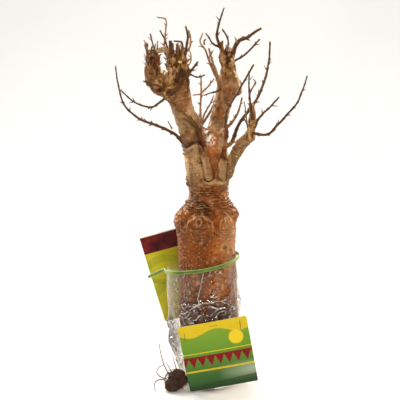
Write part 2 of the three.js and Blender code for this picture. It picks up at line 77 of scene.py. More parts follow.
# Masses of twigs: seed, then twigs as start, leans, degrees away, length, and diameter at the foot and tip.
# The first twig of each is the stem that meets its limb.
MASSES = {
    "twigs_left_top": (11, [
        ((-30, -14, 318), (-2, 4), -4, 30, 20.5, 18.5),
        ((-37, -18, 335), (0, 1, -2), -6, 34, 4.4, 3.6),
        ((-31, -16, 343), (4, 1), 2, 23, 2.6, 2),
        ((-24, -10, 343), (-2, -2, -12, -82), 8, 32, 2.6, 1.8),
        ((-24, -18, 342), (7, 8, 9, -12), -4, 42, 3.8, 2),
        ((-26, -10, 344), (12, 38, 10, -12), 6, 37, 2.6, 1.8),
        ((-35, -11, 345), (-19, -18, -21, -27), 14, 37, 2.2, 1.6),
        ((-34, -10, 345), (-38, -23, 3, 5, -1, -75), 16, 58, 2.2, 1.5),
        ((-23, -11, 337), (116, 110, 74), 18, 23, 2, 1.5),
        ((-25, -11, 340), (57, 11, -16), 22, 26, 1.8, 1.2),
    ]),
    "twigs_left_stub": (23, [
        ((-56, -16, 335), (-2, -2), -4, 15, 14.6, 12),
        ((-54, -15, 347), (0, -7, -15), 10, 29, 2, 1.5),
        ((-54, -15, 347), (18, 30, 74, 136), 10, 21, 2.4, 1.6),
    ]),
    "twigs_left_knob": (37, [
        ((-34, -19, 313), (-71, -67), -35, 11, 10, 8.6),
        ((-40, -25, 316), (-36, -60, -73, -68), -22, 31, 2.2, 1.5),
        ((-38, -24, 315), (52, 35, 36, 38, 37), -18, 47, 3.8, 2.2),
        ((-40, -25, 314), (-128, -122, -81, -66, -50, -42), -12, 57, 2.8, 1.3),
    ]),
    "twigs_left_long": (41, [
        ((-20, -8, 256), (-37, -61, -68, -46, -16, -6), -8, 124, 3.8, 1.3),
        ((-36, -12, 279), (-28,), 0, 9, 1.6, 0.9),
    ]),
    "twigs_right_top": (53, [
        ((22, 17, 336), (0, 0), 2, 17, 13, 10.4),
        ((19, 16, 344), (-20, -17, -17, 8, 17, 19), -4, 59, 4.4, 1.3),
        ((22, 15, 348), (-34, -24, 1), -10, 21, 3.2, 2.2),
        ((21, 20, 347), (3, 4, -12, -33), 18, 34, 2.8, 1.6),
        ((24, 16, 344), (12, 18, 34, 68, 53, 60), -16, 53, 6, 2.4),
        ((24, 20, 343), (62, 60, 51, 46, 42), 22, 43, 2.5, 1.9),
        ((12, 14, 361), (-71, -45, -27, -37), -16, 21, 2.2, 1.5),
    ]),
    "twigs_right_side": (61, [
        ((18, 10, 313), (-28, -26), -34, 17, 7, 5),
        ((13.5, 2, 323), (-29, -25, -22, -19, -33, 16), -12, 60, 3, 1.3),
        ((-3, -7, 364), (-7, 37), -5, 7, 1.7, 1.3),
        ((13, 1, 325), (-20, -19, -15), -20, 40, 3.2, 2.2),
        ((14, 4, 318), (-115, -102, -110), -14, 19, 2.2, 1.2),
    ]),
    "twigs_front_left": (71, [
        ((-7, -22.6, 272), (-12, -22), -6, 13, 4.6, 3.4),
        ((-10, -24, 282), (-43, -43, -47, -54), -14, 46, 2.3, 1.5),
        ((-9, -24, 280), (-52, -42), -22, 18, 1.7, 1.1),
        ((-9.5, -23.5, 282), (-32, -42), 6, 15, 1.6, 1.1),
    ]),
    "twigs_front_right": (83, [
        ((18.4, -19.6, 272), (5, 5), -6, 13, 4.2, 3.4),
        ((18, -21, 281), (-126, -60, -71, -31, -6), -24, 45, 2.4, 1.5),
        ((18, -21, 281), (5, 28, 29, 29), -14, 75, 2.8, 1.9),
        ((19, -21, 281), (45, 33, 18, 13), 2, 36, 3.2, 1.6),
    ]),
    "twigs_right_rear": (97, [
        ((14, 5, 255), (67, 51), 4, 16, 5.4, 4.4),
        ((26, 6, 262), (21, 36, 34, 21, 12, 3), 14, 116, 3.8, 1.9),
    ]),
    "twigs_low_right": (101, [
        ((36, -18.5, 267), (42, 24, 2, -5), -6, 40, 9.4, 6),
        ((48, -22, 286), (41, 43, 49, 45, 40), 14, 37, 2.8, 1.7),
        ((46, -22, 276), (94, 45, 40, 39, 20, 16), -10, 89, 3, 1.5),
        ((46, -23, 290), (-11, -6, -4, 1), -10, 51, 3.4, 1.1),
        ((43, -20, 276), (-15, -6, -9), 20, 33, 2.2, 1.1),
        ((44, -20.5, 278), (-30, -24), 8, 16, 1.8, 1.1),
        ((42, -27.5, 316), (22, 28, 30, -36), -8, 18, 1.7, 1.3),
    ]),
    "twigs_rear": (113, [
        ((-6, 22.8, 268), (-6, -2), 6, 14, 4.6, 3.4),
        ((-6.4, 23.6, 276), (-2, 2, 0), 8, 54, 2.6, 1.6),
        ((-6.6, 28.4, 311), (48, 43, 38), 10, 21, 2.1, 1.4),
        ((-6.6, 28.2, 310), (-96, -99), 10, 9, 1.7, 1.2),
        ((-7, 24, 279), (-44, -32, -24, -20), 26, 62, 2.8, 1.4),
        ((-6, 24, 278), (36, 28, 18, 24), 28, 64, 2.9, 1.4),
        ((-6, 24, 279), (20, 34, 26), 50, 46, 2.4, 1.3),
        ((-7, 24, 277), (-20, -34, -30), 46, 40, 2.2, 1.2),
    ]),
}
# Sheaves of bristles: foot, count, spread, and ranges of lean, degrees away and length
BRISTLES = {
    "twigs_left_top": ((-30, -15, 344), 11, 7.8, (-8, 8), (-6, 16), (14, 24)),
    "twigs_left_stub": ((-56, -17, 347), 12, 5.4, (-24, 8), (-18, 16), (11, 24)),
}
BRISTLE_FOOT, BRISTLE_TIP, BRISTLE_TURN = 2.4, 1.1, 137.5
SPUR_EVERY, SPUR_FROM, SPUR_TO = 18, 0.3, 0.85
SPUR_LONG, SPUR_LEAN, SPUR_AWAY, SPUR_FOOT, SPUR_TIP = (2.2, 5), (28, 62), 50, 0.75, 0.5
THICK = 7  # a twig whose foot is thicker than this bears no spurs
STEM_TUBE = 5  # a stem thinner than this is a twig, and not part of the bark's skin

# Bag: radius and height of its side, then how far its left corner is pulled out at each height
BAG_PROFILE = [(27, 0), (29.5, 5), (33, 24), (36, 45), (36.6, 68), (36, 92), (33.6, 116), (32.4, 142)]
BAG_CORNER = [(0, 0), (1, 24), (5, 45), (6, 80), (10, 116), (12.6, 142)]
BAG_DEPTH, CORNER_TURN, CORNER_WIDE = 0.94, 176, 34
RIM_AT_AXIS, RIM_RISE = 138.4, 0.219  # height of the rim at x = 0, and its rise for each millimetre of x

BAND_WIDE, BAND_THICK, BAND_BELOW_RIM, BAND_SLACK = 3.6, 1.3, 3.4, 0.5
# Cards: size, turn in degrees, and x and height of the middle
CARD_THICK = 0.7
FRONT_CARD = {"wide": 73, "tall": 72.5, "turn": 10.5, "x": 11.4, "z": 44.3}
REAR_CARD = {"wide": 73, "tall": 100, "turn": 16, "x": -25, "z": 114.4}
ROOT_TIP = {"at": (-33, -24.5, 11), "half": (12, 11, 11.8)}

# Helpers


def seeded(seed):
    """Random numbers from 0 to 1, drawn as the part's source draws them."""
    state = seed

    def draw():
        nonlocal state
        state = (state + 0x6D2B79F5) & 0xFFFFFFFF
        mixed = (state ^ (state >> 15)) * (1 | state) & 0xFFFFFFFF
        folded = (mixed ^ (mixed >> 7)) * (61 | mixed) & 0xFFFFFFFF
        mixed = ((mixed + folded) & 0xFFFFFFFF) ^ mixed
        return (mixed ^ (mixed >> 14)) / 4294967296

    return draw


def between(pair, share):
    """The value at a share of the way from the first of a pair to the second."""
    return pair[0] + (pair[1] - pair[0]) * share


def bell(x):
    """1 at 0, falling smoothly to 0 on both sides."""
    return np.exp(-np.square(x))


def unit(way):
    return way / np.linalg.norm(way)


def off_turn(turn, middle):
    """Degrees from a middle to a turn, between -180 and 180."""
    return (turn - middle + 180) % 360 - 180


def stations(values, count):
    """Values at evenly spaced stations, drawn out to a count of them."""
    return np.interp(np.linspace(0, 1, count), np.linspace(0, 1, len(values)), values)


def ease(low, high, x):
    """0 below low, 1 above high, and smooth between."""
    t = np.clip((x - low) / (high - low), 0, 1)
    return t * t * (3 - 2 * t)


def lattice(cells, seed):
    """A random number from 0 to 1 for each whole-number point of space."""
    x, y, z = np.moveaxis(cells.astype(np.int64), -1, 0)
    mixed = x * 374761393 + y * 668265263 + z * 1440662683 + seed * 974711
    mixed = ((mixed ^ (mixed >> 13)) * 1274126177) & 0xFFFFFFFF
    return ((mixed ^ (mixed >> 16)) & 0xFFFF) / 65535


def noise(spots, size, seed=0):
    """Smooth random values from -1 to 1, with lumps of about a size in each direction."""
    place = np.asarray(spots, float) / np.asarray(size, float)
    cell = np.floor(place)
    part = place - cell
    part = part * part * (3 - 2 * part)
    total = 0
    for corner in itertools.product((0, 1), repeat=3):
        weight = np.prod(np.where(corner, part, 1 - part), axis=-1)
        total = total + weight * lattice(cell + corner, seed)
    return total * 2 - 1


def curve_point(points, closed, place):
    """A point on the centripetal curve through points, at a place counted in stretches."""
    count = len(points)
    low = int(min(place, count - (0 if closed else 1) - 1e-9))
    part = place - low
    if closed:
        p0, p1, p2, p3 = (points[(low + k) % count] for k in (-1, 0, 1, 2))
    else:
        p1, p2 = points[low], points[low + 1]
        p0 = points[low - 1] if low else 2 * p1 - p2
        p3 = points[low + 2] if low + 2 < count else 2 * p2 - p1
    d0, d1, d2 = (max(np.linalg.norm(b - a) ** 0.5, 1e-4) for a, b in ((p0, p1), (p1, p2), (p2, p3)))
    m1 = ((p1 - p0) / d0 - (p2 - p0) / (d0 + d1) + (p2 - p1) / d1) * d1
    m2 = ((p2 - p1) / d1 - (p3 - p1) / (d1 + d2) + (p3 - p2) / d2) * d1
    a, b = 2 * p1 - 2 * p2 + m1 + m2, -3 * p1 + 3 * p2 - 2 * m1 - m2
    return ((a * part + b) * part + m1) * part + p1


def spline(points, count, closed=False):
    """Evenly spaced points on a smooth curve through the given ones."""
    points = [np.array(p, float) for p in points]
    stretches = len(points) - (0 if closed else 1)
    fine = np.array([curve_point(points, closed, k / 20) for k in range(stretches * 20 + 1)])
    run = np.concatenate([[0], np.cumsum(np.linalg.norm(np.diff(fine, axis=0), axis=1))])
    places = np.linspace(0, run[-1], count + 1 if closed else count)
    line = np.stack([np.interp(places, run, fine[:, k]) for k in range(fine.shape[1])], axis=1)
    return line[:-1] if closed else line


def smooth_pairs(pairs):
    """Heights and values of (value, height) pairs, with many more between them on a smooth curve."""
    fine = spline([(value, height) for value, height in pairs], len(pairs) * 12)
    return fine[:, 1], fine[:, 0]


def heading(lean, away):
    """Direction that leans right of upright and away from the viewer."""
    lean, away = math.radians(lean), math.radians(away)
    return np.array([math.sin(lean) * math.cos(away), math.sin(away), math.cos(lean) * math.cos(away)])


def leaning_line(at, leans, away, long, step):
    """Points a step apart on a curve that leans by each angle in turn over equal stretches."""
    points = [np.array(at, float)]
    for lean in leans:
        points.append(points[-1] + heading(lean, away) * long / len(leans))
    return spline(points, max(3, round(long / step) + 1))


# Materials


def srgb(code):
    """Linear colour of a six-digit code."""
    parts = [int(code[k:k + 2], 16) / 255 for k in (0, 2, 4)]
    return (*(c / 12.92 if c <= 0.04045 else ((c + 0.055) / 1.055) ** 2.4 for c in parts), 1)


class Look:
    """A material whose nodes are added one by one."""

    def __init__(self, name, sockets=None):
        self.material = bpy.data.materials.new(name)
        self.material.use_nodes = True
        self.tree = self.material.node_tree
        self.shader = self.tree.nodes["Principled BSDF"]
        self.place = self.tree.nodes.new("ShaderNodeTexCoord").outputs["Object"]
        for key, value in (sockets or {}).items():
            self.set(key, value)

    def set(self, socket, value):
        self.feed(self.shader.inputs[socket], value)

    def feed(self, socket, value):
        if isinstance(value, bpy.types.NodeSocket):
            self.tree.links.new(value, socket)
        else:
            socket.default_value = value

    def node(self, kind, inputs, **settings):
        node = self.tree.nodes.new("ShaderNode" + kind)
        for key, value in settings.items():
            setattr(node, key, value)
        for key, value in inputs.items():
            self.feed(node.inputs[key], value)
        return node

    def stretched(self, size):
        """The object's coordinates, counted in lumps of a size in millimetres along x, y and z."""
        scale = tuple(1 / (s * MM) for s in size)
        return self.node("Mapping", {"Vector": self.place, "Scale": scale}).outputs["Vector"]

    def noise(self, size, detail=4.0, rough=0.55):
        size = size if isinstance(size, tuple) else (size,) * 3
        inputs = {"Vector": self.stretched(size), "Scale": 1.0, "Detail": detail, "Roughness": rough}
        return self.node("TexNoise", inputs).outputs["Fac"]

    def attribute(self, name):
        return self.node("Attribute", {}, attribute_name=name).outputs["Fac"]

    def ramp(self, share, stops):
        """Colours along a share from 0 to 1, from (place, code) stops."""
        node = self.node("ValToRGB", {"Fac": share})
        line = node.color_ramp.elements
        while len(line) < len(stops):
            line.new(0.5)
        for element, (place, code) in zip(line, stops):
            element.position = place
            element.color = srgb(code)
        return node.outputs["Color"]

    def span(self, value, low, high, out_low=0.0, out_high=1.0):
        inputs = {"Value": value, "From Min": low, "From Max": high, "To Min": out_low, "To Max": out_high}
        return self.node("MapRange", inputs).outputs["Result"]

    def math(self, operation, a, b=0.0):
        node = self.node("Math", {}, operation=operation)
        self.feed(node.inputs[0], a)
        self.feed(node.inputs[1], b)
        return node.outputs["Value"]

    def times(self, a, b):
        return self.math("MULTIPLY", a, b)

    def apart(self, a, b):
        """How far apart two values are."""
        return self.math("ABSOLUTE", self.math("SUBTRACT", a, b))

    def mix(self, share, a, b, blend="MIX"):
        node = self.node("Mix", {}, data_type="RGBA", blend_type=blend)
        for socket, value in zip((node.inputs[0], node.inputs[6], node.inputs[7]), (share, a, b)):
            self.feed(socket, srgb(value) if isinstance(value, str) else value)
        return node.outputs[2]

    def bump(self, *heights):
        """Unevenness from (height, depth in millimetres) pairs."""
        normal = None
        for height, depth in heights:
            inputs = {"Height": height, "Distance": depth * MM}
            if normal:
                inputs["Normal"] = normal
            normal = self.node("Bump", inputs).outputs["Normal"]
        self.set("Normal", normal)


def bark_look():
    """Waxy orange-brown bark, pale beige on the boughs and weathered brown on the torn heads, with painted
    shade in its hollows and furrows, paler skin and painted highlight on its crests and edges, and painted
    white gleams of light in the fork.
    """
    look = Look("bark", {"Specular IOR Level": 0.12})
    broad, lumps, grain = look.noise(16, 5, 0.6), look.noise(2.6, 4, 0.6), look.noise(0.9, 3, 0.6)
    drift = look.noise((6, 6, 9), 5, 0.62)
    amber_share = look.attribute("amber")
    trunk = look.ramp(broad, [(0.25, "542205"), (0.45, "71340a"), (0.6, "83400f"), (0.78, "97531a")])
    pale = look.ramp(drift, [(0.25, "553216"), (0.5, "815b36"), (0.75, "ac895d")])
    amber = look.ramp(broad, [(0.3, "783205"), (0.5, "984b10"), (0.7, "b86c24")])
    worn = look.ramp(lumps, [(0.3, "5c3412"), (0.5, "9a672e"), (0.75, "cf9f5e")])
    pale_share = look.attribute("pale")
    colour = look.mix(pale_share, trunk, pale)
    colour = look.mix(look.attribute("worn"), colour, worn)
    colour = look.mix(amber_share, colour, amber)
    fleck = look.mix(pale_share, "bb8846", "d9bb90")
    speck = look.mix(pale_share, "c99a62", "e2c89e")
    flecks = [(lumps, 0.54, 0.72, 0.42, fleck), (lumps, 0.44, 0.28, 0.5, "421c06"),
              (grain, 0.58, 0.7, 0.36, speck), (grain, 0.42, 0.3, 0.42, "3a1a08")]
    for grains, low, high, most, tone in flecks:
        colour = look.mix(look.span(grains, low, high, 0.0, most), colour, tone)
    # Painted shade, paler skin with painted highlight, painted shade in furrows, and painted white gleams of
    # light, laid over the bark's own colours
    for name, tone in (("shade", "371603"), ("rim", "d9ae7c"), ("furrow", "270d02"), ("painted_gleam", "fbf3e2")):
        colour = look.mix(look.attribute(name), colour, tone)
    look.set("Base Color", colour)
    dull = look.times(look.attribute("shade"), 0.6)
    rough = look.math("ADD", look.span(grain, 0.3, 0.7, 0.24, 0.44), dull)
    look.set("Roughness", look.math("SUBTRACT", rough, look.times(amber_share, 0.05)))
    look.bump((lumps, 1.1), (grain, 0.6))
    return look.material


def twig_look(name, dark, light, rough):
    look = Look(name, {"Specular IOR Level": 0.18})
    grain = look.noise((0.8, 0.8, 2.5), 4, 0.6)
    look.set("Base Color", look.ramp(grain, [(0.3, dark), (0.7, light)]))
    look.set("Roughness", look.span(grain, 0.3, 0.7, rough - 0.1, rough + 0.15))
    look.bump((grain, 0.3))
    return look.material


def film_look():
    """Clear film, whitish where it is doubled, whitened along its creases as stress-whitened film and painted
    glint, with painted glare and painted shade in places, and mirror glints that grow at a slant.
    """
    look = Look("clear_film")
    tree = look.tree
    ridge_glint, valley_shade, haze_and_glare = (look.attribute(name) for name in ("ridge_glint", "valley_shade", "haze_and_glare"))
    cloud = look.noise((3, 3, 7), 4, 0.65)
    dim_shade = look.times(look.attribute("dim_shade"), look.span(cloud, 0.3, 0.7, 0.45, 1.0))
    # The film's clear colour darkens with painted shade in its valleys and its dim places.
    tint = look.mix(look.times(valley_shade, 0.75), look.mix(dim_shade, "fbfaf9", "4a3c3e"), "3a2a28")
    clear = look.node("BsdfTransparent", {"Color": tint})
    front = look.node("BsdfDiffuse", {"Color": srgb("efe7df")})
    back = look.node("BsdfTranslucent", {"Color": srgb("efe7df")})
    smooth = look.span(cloud, 0.3, 0.7, 0.02, 0.07)
    shine = look.node("BsdfGlossy", {"Color": (1, 1, 1, 1), "Roughness": smooth})
    slant = look.node("LayerWeight", {"Blend": 0.5}).outputs["Facing"]
    # Whitish where doubled, with painted glare in places, and creases whitened as stress-whitened film and
    # painted glint.
    milk = look.times(haze_and_glare, look.span(cloud, 0.3, 0.7, 0.3, 1.0))
    milk = look.math("MAXIMUM", milk, look.times(ridge_glint, 0.75))
    share = look.span(look.math("POWER", slant, 5.0), 0.0, 1.0, 0.03, 0.85)
    share = look.times(share, look.span(dim_shade, 0.0, 1.0, 1.0, 0.25))
    share = look.math("MAXIMUM", share, look.times(ridge_glint, 0.3))
    surface = front.outputs["BSDF"]
    through = look.span(ridge_glint, 0.0, 1.0, 0.5, 0.1)
    for fac, other in ((through, back), (look.math("SUBTRACT", 1.0, milk), clear), (share, shine)):
        both = look.node("MixShader", {"Fac": fac})
        tree.links.new(surface, both.inputs[1])
        tree.links.new(other.outputs["BSDF"], both.inputs[2])
        surface = both.outputs["Shader"]
    tree.links.new(surface, tree.nodes["Material Output"].inputs["Surface"])
    return look.material


def rubber_look():
    look = Look("rubber", {"Specular IOR Level": 0.25})
    cloud, grain = look.noise(5, 4), look.noise(0.5, 3)
    colour = look.ramp(cloud, [(0.3, "34540a"), (0.7, "577a17")])
    # The edge share paints the band's edges and its two ends pale green as painted highlight.
    look.set("Base Color", look.mix(look.times(look.attribute("edge"), 0.6), colour, "b9cc7c"))
    look.set("Roughness", look.span(grain, 0.3, 0.7, 0.38, 0.6))
    look.bump((grain, 0.12))
    return look.material


def root_look():
    look = Look("root", {"Specular IOR Level": 0.3})
    lumps, grain = look.noise(4, 5, 0.65), look.noise(0.6, 4, 0.65)
    colour = look.ramp(lumps, [(0.3, "1d100a"), (0.55, "3b2217"), (0.8, "6b4430")])
    look.set("Base Color", look.mix(look.span(grain, 0.6, 0.75, 0.0, 0.5), colour, "8a6448"))
    look.set("Roughness", look.span(grain, 0.3, 0.7, 0.7, 0.95))
    look.bump((lumps, 1.2), (grain, 0.6))
    return look.material


def metal_look():
    look = Look("staple_wire", {"Metallic": 1.0})
    grain = look.noise(0.6, 3)
    look.set("Base Color", look.ramp(grain, [(0.3, "5d2416"), (0.7, "8a4530")]))
    look.set("Roughness", look.span(grain, 0.3, 0.7, 0.25, 0.45))
    return look.material


# Meshes


def mesh_piece(name, spots, faces, materials, kinds=None):
    """An object made of points in millimetres, on the part's only body."""
    mesh = bpy.data.meshes.new(name)
    mesh.from_pydata((np.asarray(spots) * MM).tolist(), [], [list(map(int, f)) for f in faces])
    for material in materials:
        mesh.materials.append(material)
    if kinds is not None:
        mesh.polygons.foreach_set("material_index", np.asarray(kinds, np.int32))
    mesh.polygons.foreach_set("use_smooth", np.full(len(mesh.polygons), True))
    mesh.update()
    piece = bpy.data.objects.new(name, mesh)
    bpy.context.scene.collection.objects.link(piece)
    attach(piece, "root")
    return piece


def set_values(piece, name, values):
    """A value for each point of a piece, which its material reads by name."""
    layer = piece.data.attributes.new(name, "FLOAT", "POINT")
    layer.data.foreach_set("value", np.asarray(values, np.float32).ravel())


def grid_faces(rows, columns, closed):
    """Quads of a net of rows and columns, whose columns may close into a ring."""
    columns_across = columns if closed else columns - 1
    row, column = np.meshgrid(np.arange(rows - 1), np.arange(columns_across), indexing="ij")
    beside = (column + 1) % columns
    quads = [row * columns + column, row * columns + beside, (row + 1) * columns + beside,
             (row + 1) * columns + column]
    return np.stack(quads, axis=-1).reshape(-1, 4)


class Pile:
    """Many small tubes that become one mesh."""

    def __init__(self):
        self.spots, self.faces, self.kinds, self.count = [], [], [], 0

    def tube(self, line, radii, sides, kind, tip_kind=None, squash=1.0, turn=0.0):
        """A tube along a line with a radius at each point, closed at its tip."""
        line, radii = np.asarray(line, float), np.asarray(radii, float)
        ahead = np.gradient(line, axis=0)
        ahead /= np.maximum(np.linalg.norm(ahead, axis=1, keepdims=True), 1e-9)
        side = np.cross(ahead[0], (0.31, 0.83, 0.45))
        sides_at = []
        for direction in ahead:
            side = unit(side - direction * (side @ direction))
            sides_at.append(side)
        side = np.array(sides_at)
        over = np.cross(ahead, side)
        angles = np.radians(turn) + np.arange(sides) * 2 * math.pi / sides
        ring = side[:, None] * np.cos(angles)[:, None] + over[:, None] * np.sin(angles)[:, None] * squash
        spots = (line[:, None] + ring * radii[:, None, None]).reshape(-1, 3)
        quads = grid_faces(len(line), sides, True) + self.count
        last = self.count + (len(line) - 1) * sides
        cap = np.arange(last, last + sides)
        self.spots.append(spots)
        self.faces.extend(quads)
        self.faces.append(cap)
        self.kinds.extend([kind] * len(quads) + [kind if tip_kind is None else tip_kind])
        self.count += len(spots)

    def piece(self, name, slot, materials):
        return mesh_piece(name, np.concatenate(self.spots), self.faces, materials, self.kinds)


# Trunk, boughs and heads: one skin round all of them

FAR = 20.0


class Space:
    """A block of space with the distance of each point from the skin of the shapes in it."""

    def __init__(self, *axes):
        self.axes = axes
        self.field = np.full([len(axis) for axis in axes], FAR)

    def part(self, low, high):
        """The part inside a box, and its points."""
        cut = tuple(slice(np.searchsorted(axis, a), np.searchsorted(axis, b))
                    for axis, a, b in zip(self.axes, low, high))
        axes = [axis[c] for axis, c in zip(self.axes, cut)]
        return cut, np.stack(np.meshgrid(*axes, indexing="ij"), axis=-1)

    def tube(self, line, radii, soft):
        """Distance from a round limb, in the part of space near it."""
        line, radii = np.asarray(line, float), np.asarray(radii, float)
        reach = float(np.max(radii)) + soft + 2
        cut, spots = self.part(line.min(axis=0) - reach, line.max(axis=0) + reach)
        distance = np.full(spots.shape[:3], FAR)
        for a, b, ra, rb in zip(line[:-1], line[1:], radii[:-1], radii[1:]):
            stretch = b - a
            share = np.clip(((spots - a) @ stretch) / (stretch @ stretch), 0, 1)
            away = np.linalg.norm(spots - a - share[..., None] * stretch, axis=-1)
            np.minimum(distance, away - (ra + (rb - ra) * share), out=distance)
        return cut, distance

    def ball(self, middle, half, soft):
        """Distance from an egg, in the part of space near it."""
        middle, half = np.array(middle, float), np.array(half, float)
        cut, spots = self.part(middle - half - soft - 2, middle + half + soft + 2)
        return cut, (np.linalg.norm((spots - middle) / half, axis=-1) - 1) * half.min()

    def join(self, cut, distance, soft):
        there = self.field[cut]
        near = np.maximum(soft - np.abs(there - distance), 0) / soft
        self.field[cut] = np.minimum(there, distance) - near * near * soft / 4

    def carve(self, cut, distance, soft):
        there = self.field[cut]
        near = np.maximum(soft - np.abs(there + distance), 0) / soft
        self.field[cut] = np.maximum(there, -distance) + near * near * soft / 4

    def skin(self):
        """Points and quads of the skin."""
        grid = openvdb.FloatGrid(FAR)
        grid.copyFromArray(self.field.astype(np.float32))
        points, quads = grid.convertToQuads(0)
        spots = [np.interp(points[:, k], np.arange(len(axis)), axis) for k, axis in enumerate(self.axes)]
        return np.stack(spots, axis=1), quads[:, ::-1]


trunk_heights, trunk_radii = smooth_pairs(TRUNK_PROFILE)
trunk_line = spline([(x, 0, z) for x, z in TRUNK_LINE], 200)


def off_axis(turn, middle, radius):
    """Distance round the trunk from a turn."""
    return np.radians(off_turn(turn, middle)) * radius


def hood_size(turn, z, hood):
    """Distance from the middle of a hood: 1 at its brow's edge."""
    hood_turn, hood_z, wide, rise = hood[:4]
    across = off_axis(turn, hood_turn, np.interp(hood_z, trunk_heights, trunk_radii))
    return np.hypot(across / wide, (z - hood_z) / rise)


def trunk_radius(turn, z):
    """Radius of the trunk with its swellings and hoods at turns in degrees and heights."""
    plain = np.interp(z, trunk_heights, trunk_radii)
    radius = plain * np.hypot(np.cos(np.radians(turn)), np.sin(np.radians(turn)) * TRUNK_DEPTH)
    for knot_turn, knot_z, out, wide, tall in KNOTS:
        around = off_axis(turn, knot_turn, np.interp(knot_z, trunk_heights, trunk_radii))
        radius = radius + out * bell(around / wide) * bell((z - knot_z) / tall)
    for hood in HOODS:
        size = hood_size(turn, z, hood)
        form = hood[4] * bell((size - BROW_AT) / HOOD_SOFT) - hood[5] * bell((size - SUNK_AT) / HOOD_SOFT)
        radius = radius + form * ease(-4, 4, z - hood[1])
    return radius


def trunk_place(spots):
    """Turn in degrees and distance from the trunk's middle line at each point."""
    x = spots[..., 0] - np.interp(spots[..., 2], trunk_line[:, 2], trunk_line[:, 0])
    y = spots[..., 1]
    return np.degrees(np.arctan2(y, x)), np.hypot(x, y)


# Stations of the grid that the skin is drawn on, finest at the neck
GRID_X = np.arange(-74, 62, 0.8)
GRID_Y = np.arange(-46, 44, 0.8)
GRID_Z = np.concatenate([np.arange(-2, 110, 1.8), np.arange(110, 130, 1.1), np.arange(130, 228, 0.5),
                         np.arange(228, 374, 0.7)])
SPLIT = 229  # height where the trunk's skin ends and that of the boughs begins

# Extra limbs on the boughs and heads: points, radii at evenly spaced stations and roundness of the join
STRAPS = [
    ([(-8, -7, 214), (-10, -9, 238)], (9, 10), 6),
    ([(-10, -9.2, 236), (-12.6, -11.2, 257.5)], (10, 10.4), 1.2),
    ([(22, -9.3, 231.5), (27, -12.5, 246), (33.6, -15.8, 259.4), (43.6, -19, 271.4)],
     (4.2, 4.2, 4.2, 4.4), 3),
    ([(-24, -11.5, 253.5), (-19.5, -17.6, 258.4), (-15, -20, 261.6), (-10, -20.6, 263), (-6, -19.2, 261.4),
      (-4, -17, 254)], (1.2, 2.2, 2.4, 2.4, 2.2, 1.2), 1.5),
    ([(-45, -14, 334), (-45, -14, 334.5)], (5, 5), 3),
    ([(-34, -18, 346), (-32, -21, 340), (-27, -20.6, 337), (-25, -18.6, 330)], (1, 1.1, 1.1, 0.9), 0.5),
    ([(-25, -17, 346), (-28, -19.5, 343), (-29.5, -20, 334), (-33, -19.6, 328)], (1, 1.1, 1.1, 0.9), 0.5),
    ([(-34, -17, 334), (-30, -19, 330), (-26, -19, 333), (-24, -16.6, 340)], (0.9, 1, 1, 0.9), 0.5),
    ([(-50, -16, 322), (-50, -16, 328)], (7, 7), 4),
    ([(-38, -19, 318), (-37.4, -20, 331), (-37, -19.5, 345), (-37, -19, 354)], (3.4, 2.6, 2.4, 2.2), 1),
    ([(-22, -17, 322), (-20.6, -16, 335), (-21.6, -15, 345), (-24, -15, 352)], (3, 2.4, 2, 1.6), 1),
    ([(-40, -21, 322), (-34.6, -25.4, 320), (-28, -25, 321), (-22.5, -20, 328)], (2, 2.2, 2, 1.6), 0.8),
    ([(-27, -16, 343), (-25, -17, 350), (-23.6, -17.5, 357)], (4, 3, 2.2), 1.5),
    ([(-30, -12, 340), (-31, -12, 352), (-29, -12, 357)], (3, 2.4, 1.6), 1.5),
    ([(19.6, 14, 333), (17.4, 14, 345), (15, 14, 357)], (4.2, 3, 2.2), 1.2),
    ([(24.4, 14, 331), (24.2, 14, 343), (25.4, 14.5, 352), (26.6, 14.5, 357)], (4.2, 3, 2.6, 2.2), 1.2),
    ([(15, 8, 337), (17, 6, 327), (20.3, 5.4, 322), (23.4, 6, 327), (23.4, 8.4, 335.5)],
     (1.6, 1.7, 1.8, 1.6, 1.4), 0.8),
    ([(24, 11, 356), (22, 8.6, 351), (19.4, 8.4, 346), (16.4, 10, 342)], (1.1, 1.2, 1.2, 1), 0.6),
    ([(26, 11, 351), (23.4, 8.4, 344), (20, 7.6, 337.5), (16.6, 8.4, 333)], (1.2, 1.3, 1.3, 1), 0.6),
    ([(28, 13, 322), (31, 12, 316)], (6, 5), 6),
    ([(-20.6, -7, 226), (-20.8, -7, 228)], (1.8, 1.6), 1.2),
    ([(-20.4, -9, 221), (-20.4, -9, 222)], (1.7, 1.5), 1.2),
    ([(-42.4, -26, 315), (-42, -27, 321), (-38, -28, 323), (-34.6, -27, 319)], (1.6, 1.5, 1.5, 1.4), 0.8),
]
# Hollows: middle, half sizes and roundness of the edge
HOLLOWS = [
    ((-30, -26, 336), (6, 9, 13), 1),
    ((-29, -18, 350), (5, 7, 9), 1),
    ((-39, -30, 317), (2.6, 4, 3), 0.8),
    ((20.5, 8, 341), (3.6, 6.4, 15), 0.8),
    ((20, 14, 358), (3, 6, 9), 0.8),
]
# Grooves and the wall of the fork: points, radii at evenly spaced stations and roundness of the edge
GROOVES = [
    ([(7, -30, 227), (7, -27, 245), (7, -17.5, 268), (7, -11, 286)], (10.2, 11, 12.2, 12), 2),
    ([(-25, -12, 257.6), (-19.8, -18.6, 262.6), (-15, -21, 266), (-10, -21.4, 267.4), (-6, -20, 265.6),
      (-4, -17.6, 258)], (1, 1.7, 2, 2, 1.7, 1), 0.8),
]
SADDLE = ((6, -1, 262), (11, 11, 20))  # middle and half sizes of the rounded wood in the fork
# Share of a stem that the trunk hides, and width and outward shift of the groove beside the rest
STEM_FOOT, MOAT_WIDE, MOAT_OUT = 0.15, 0.9, 1.5


def limb_line(limb, step):
    """Points along a limb and the radius at each."""
    at, leans, away, long, radii = limb
    line = leaning_line(at, leans, away, long, step)
    return line, stations(radii, len(line))


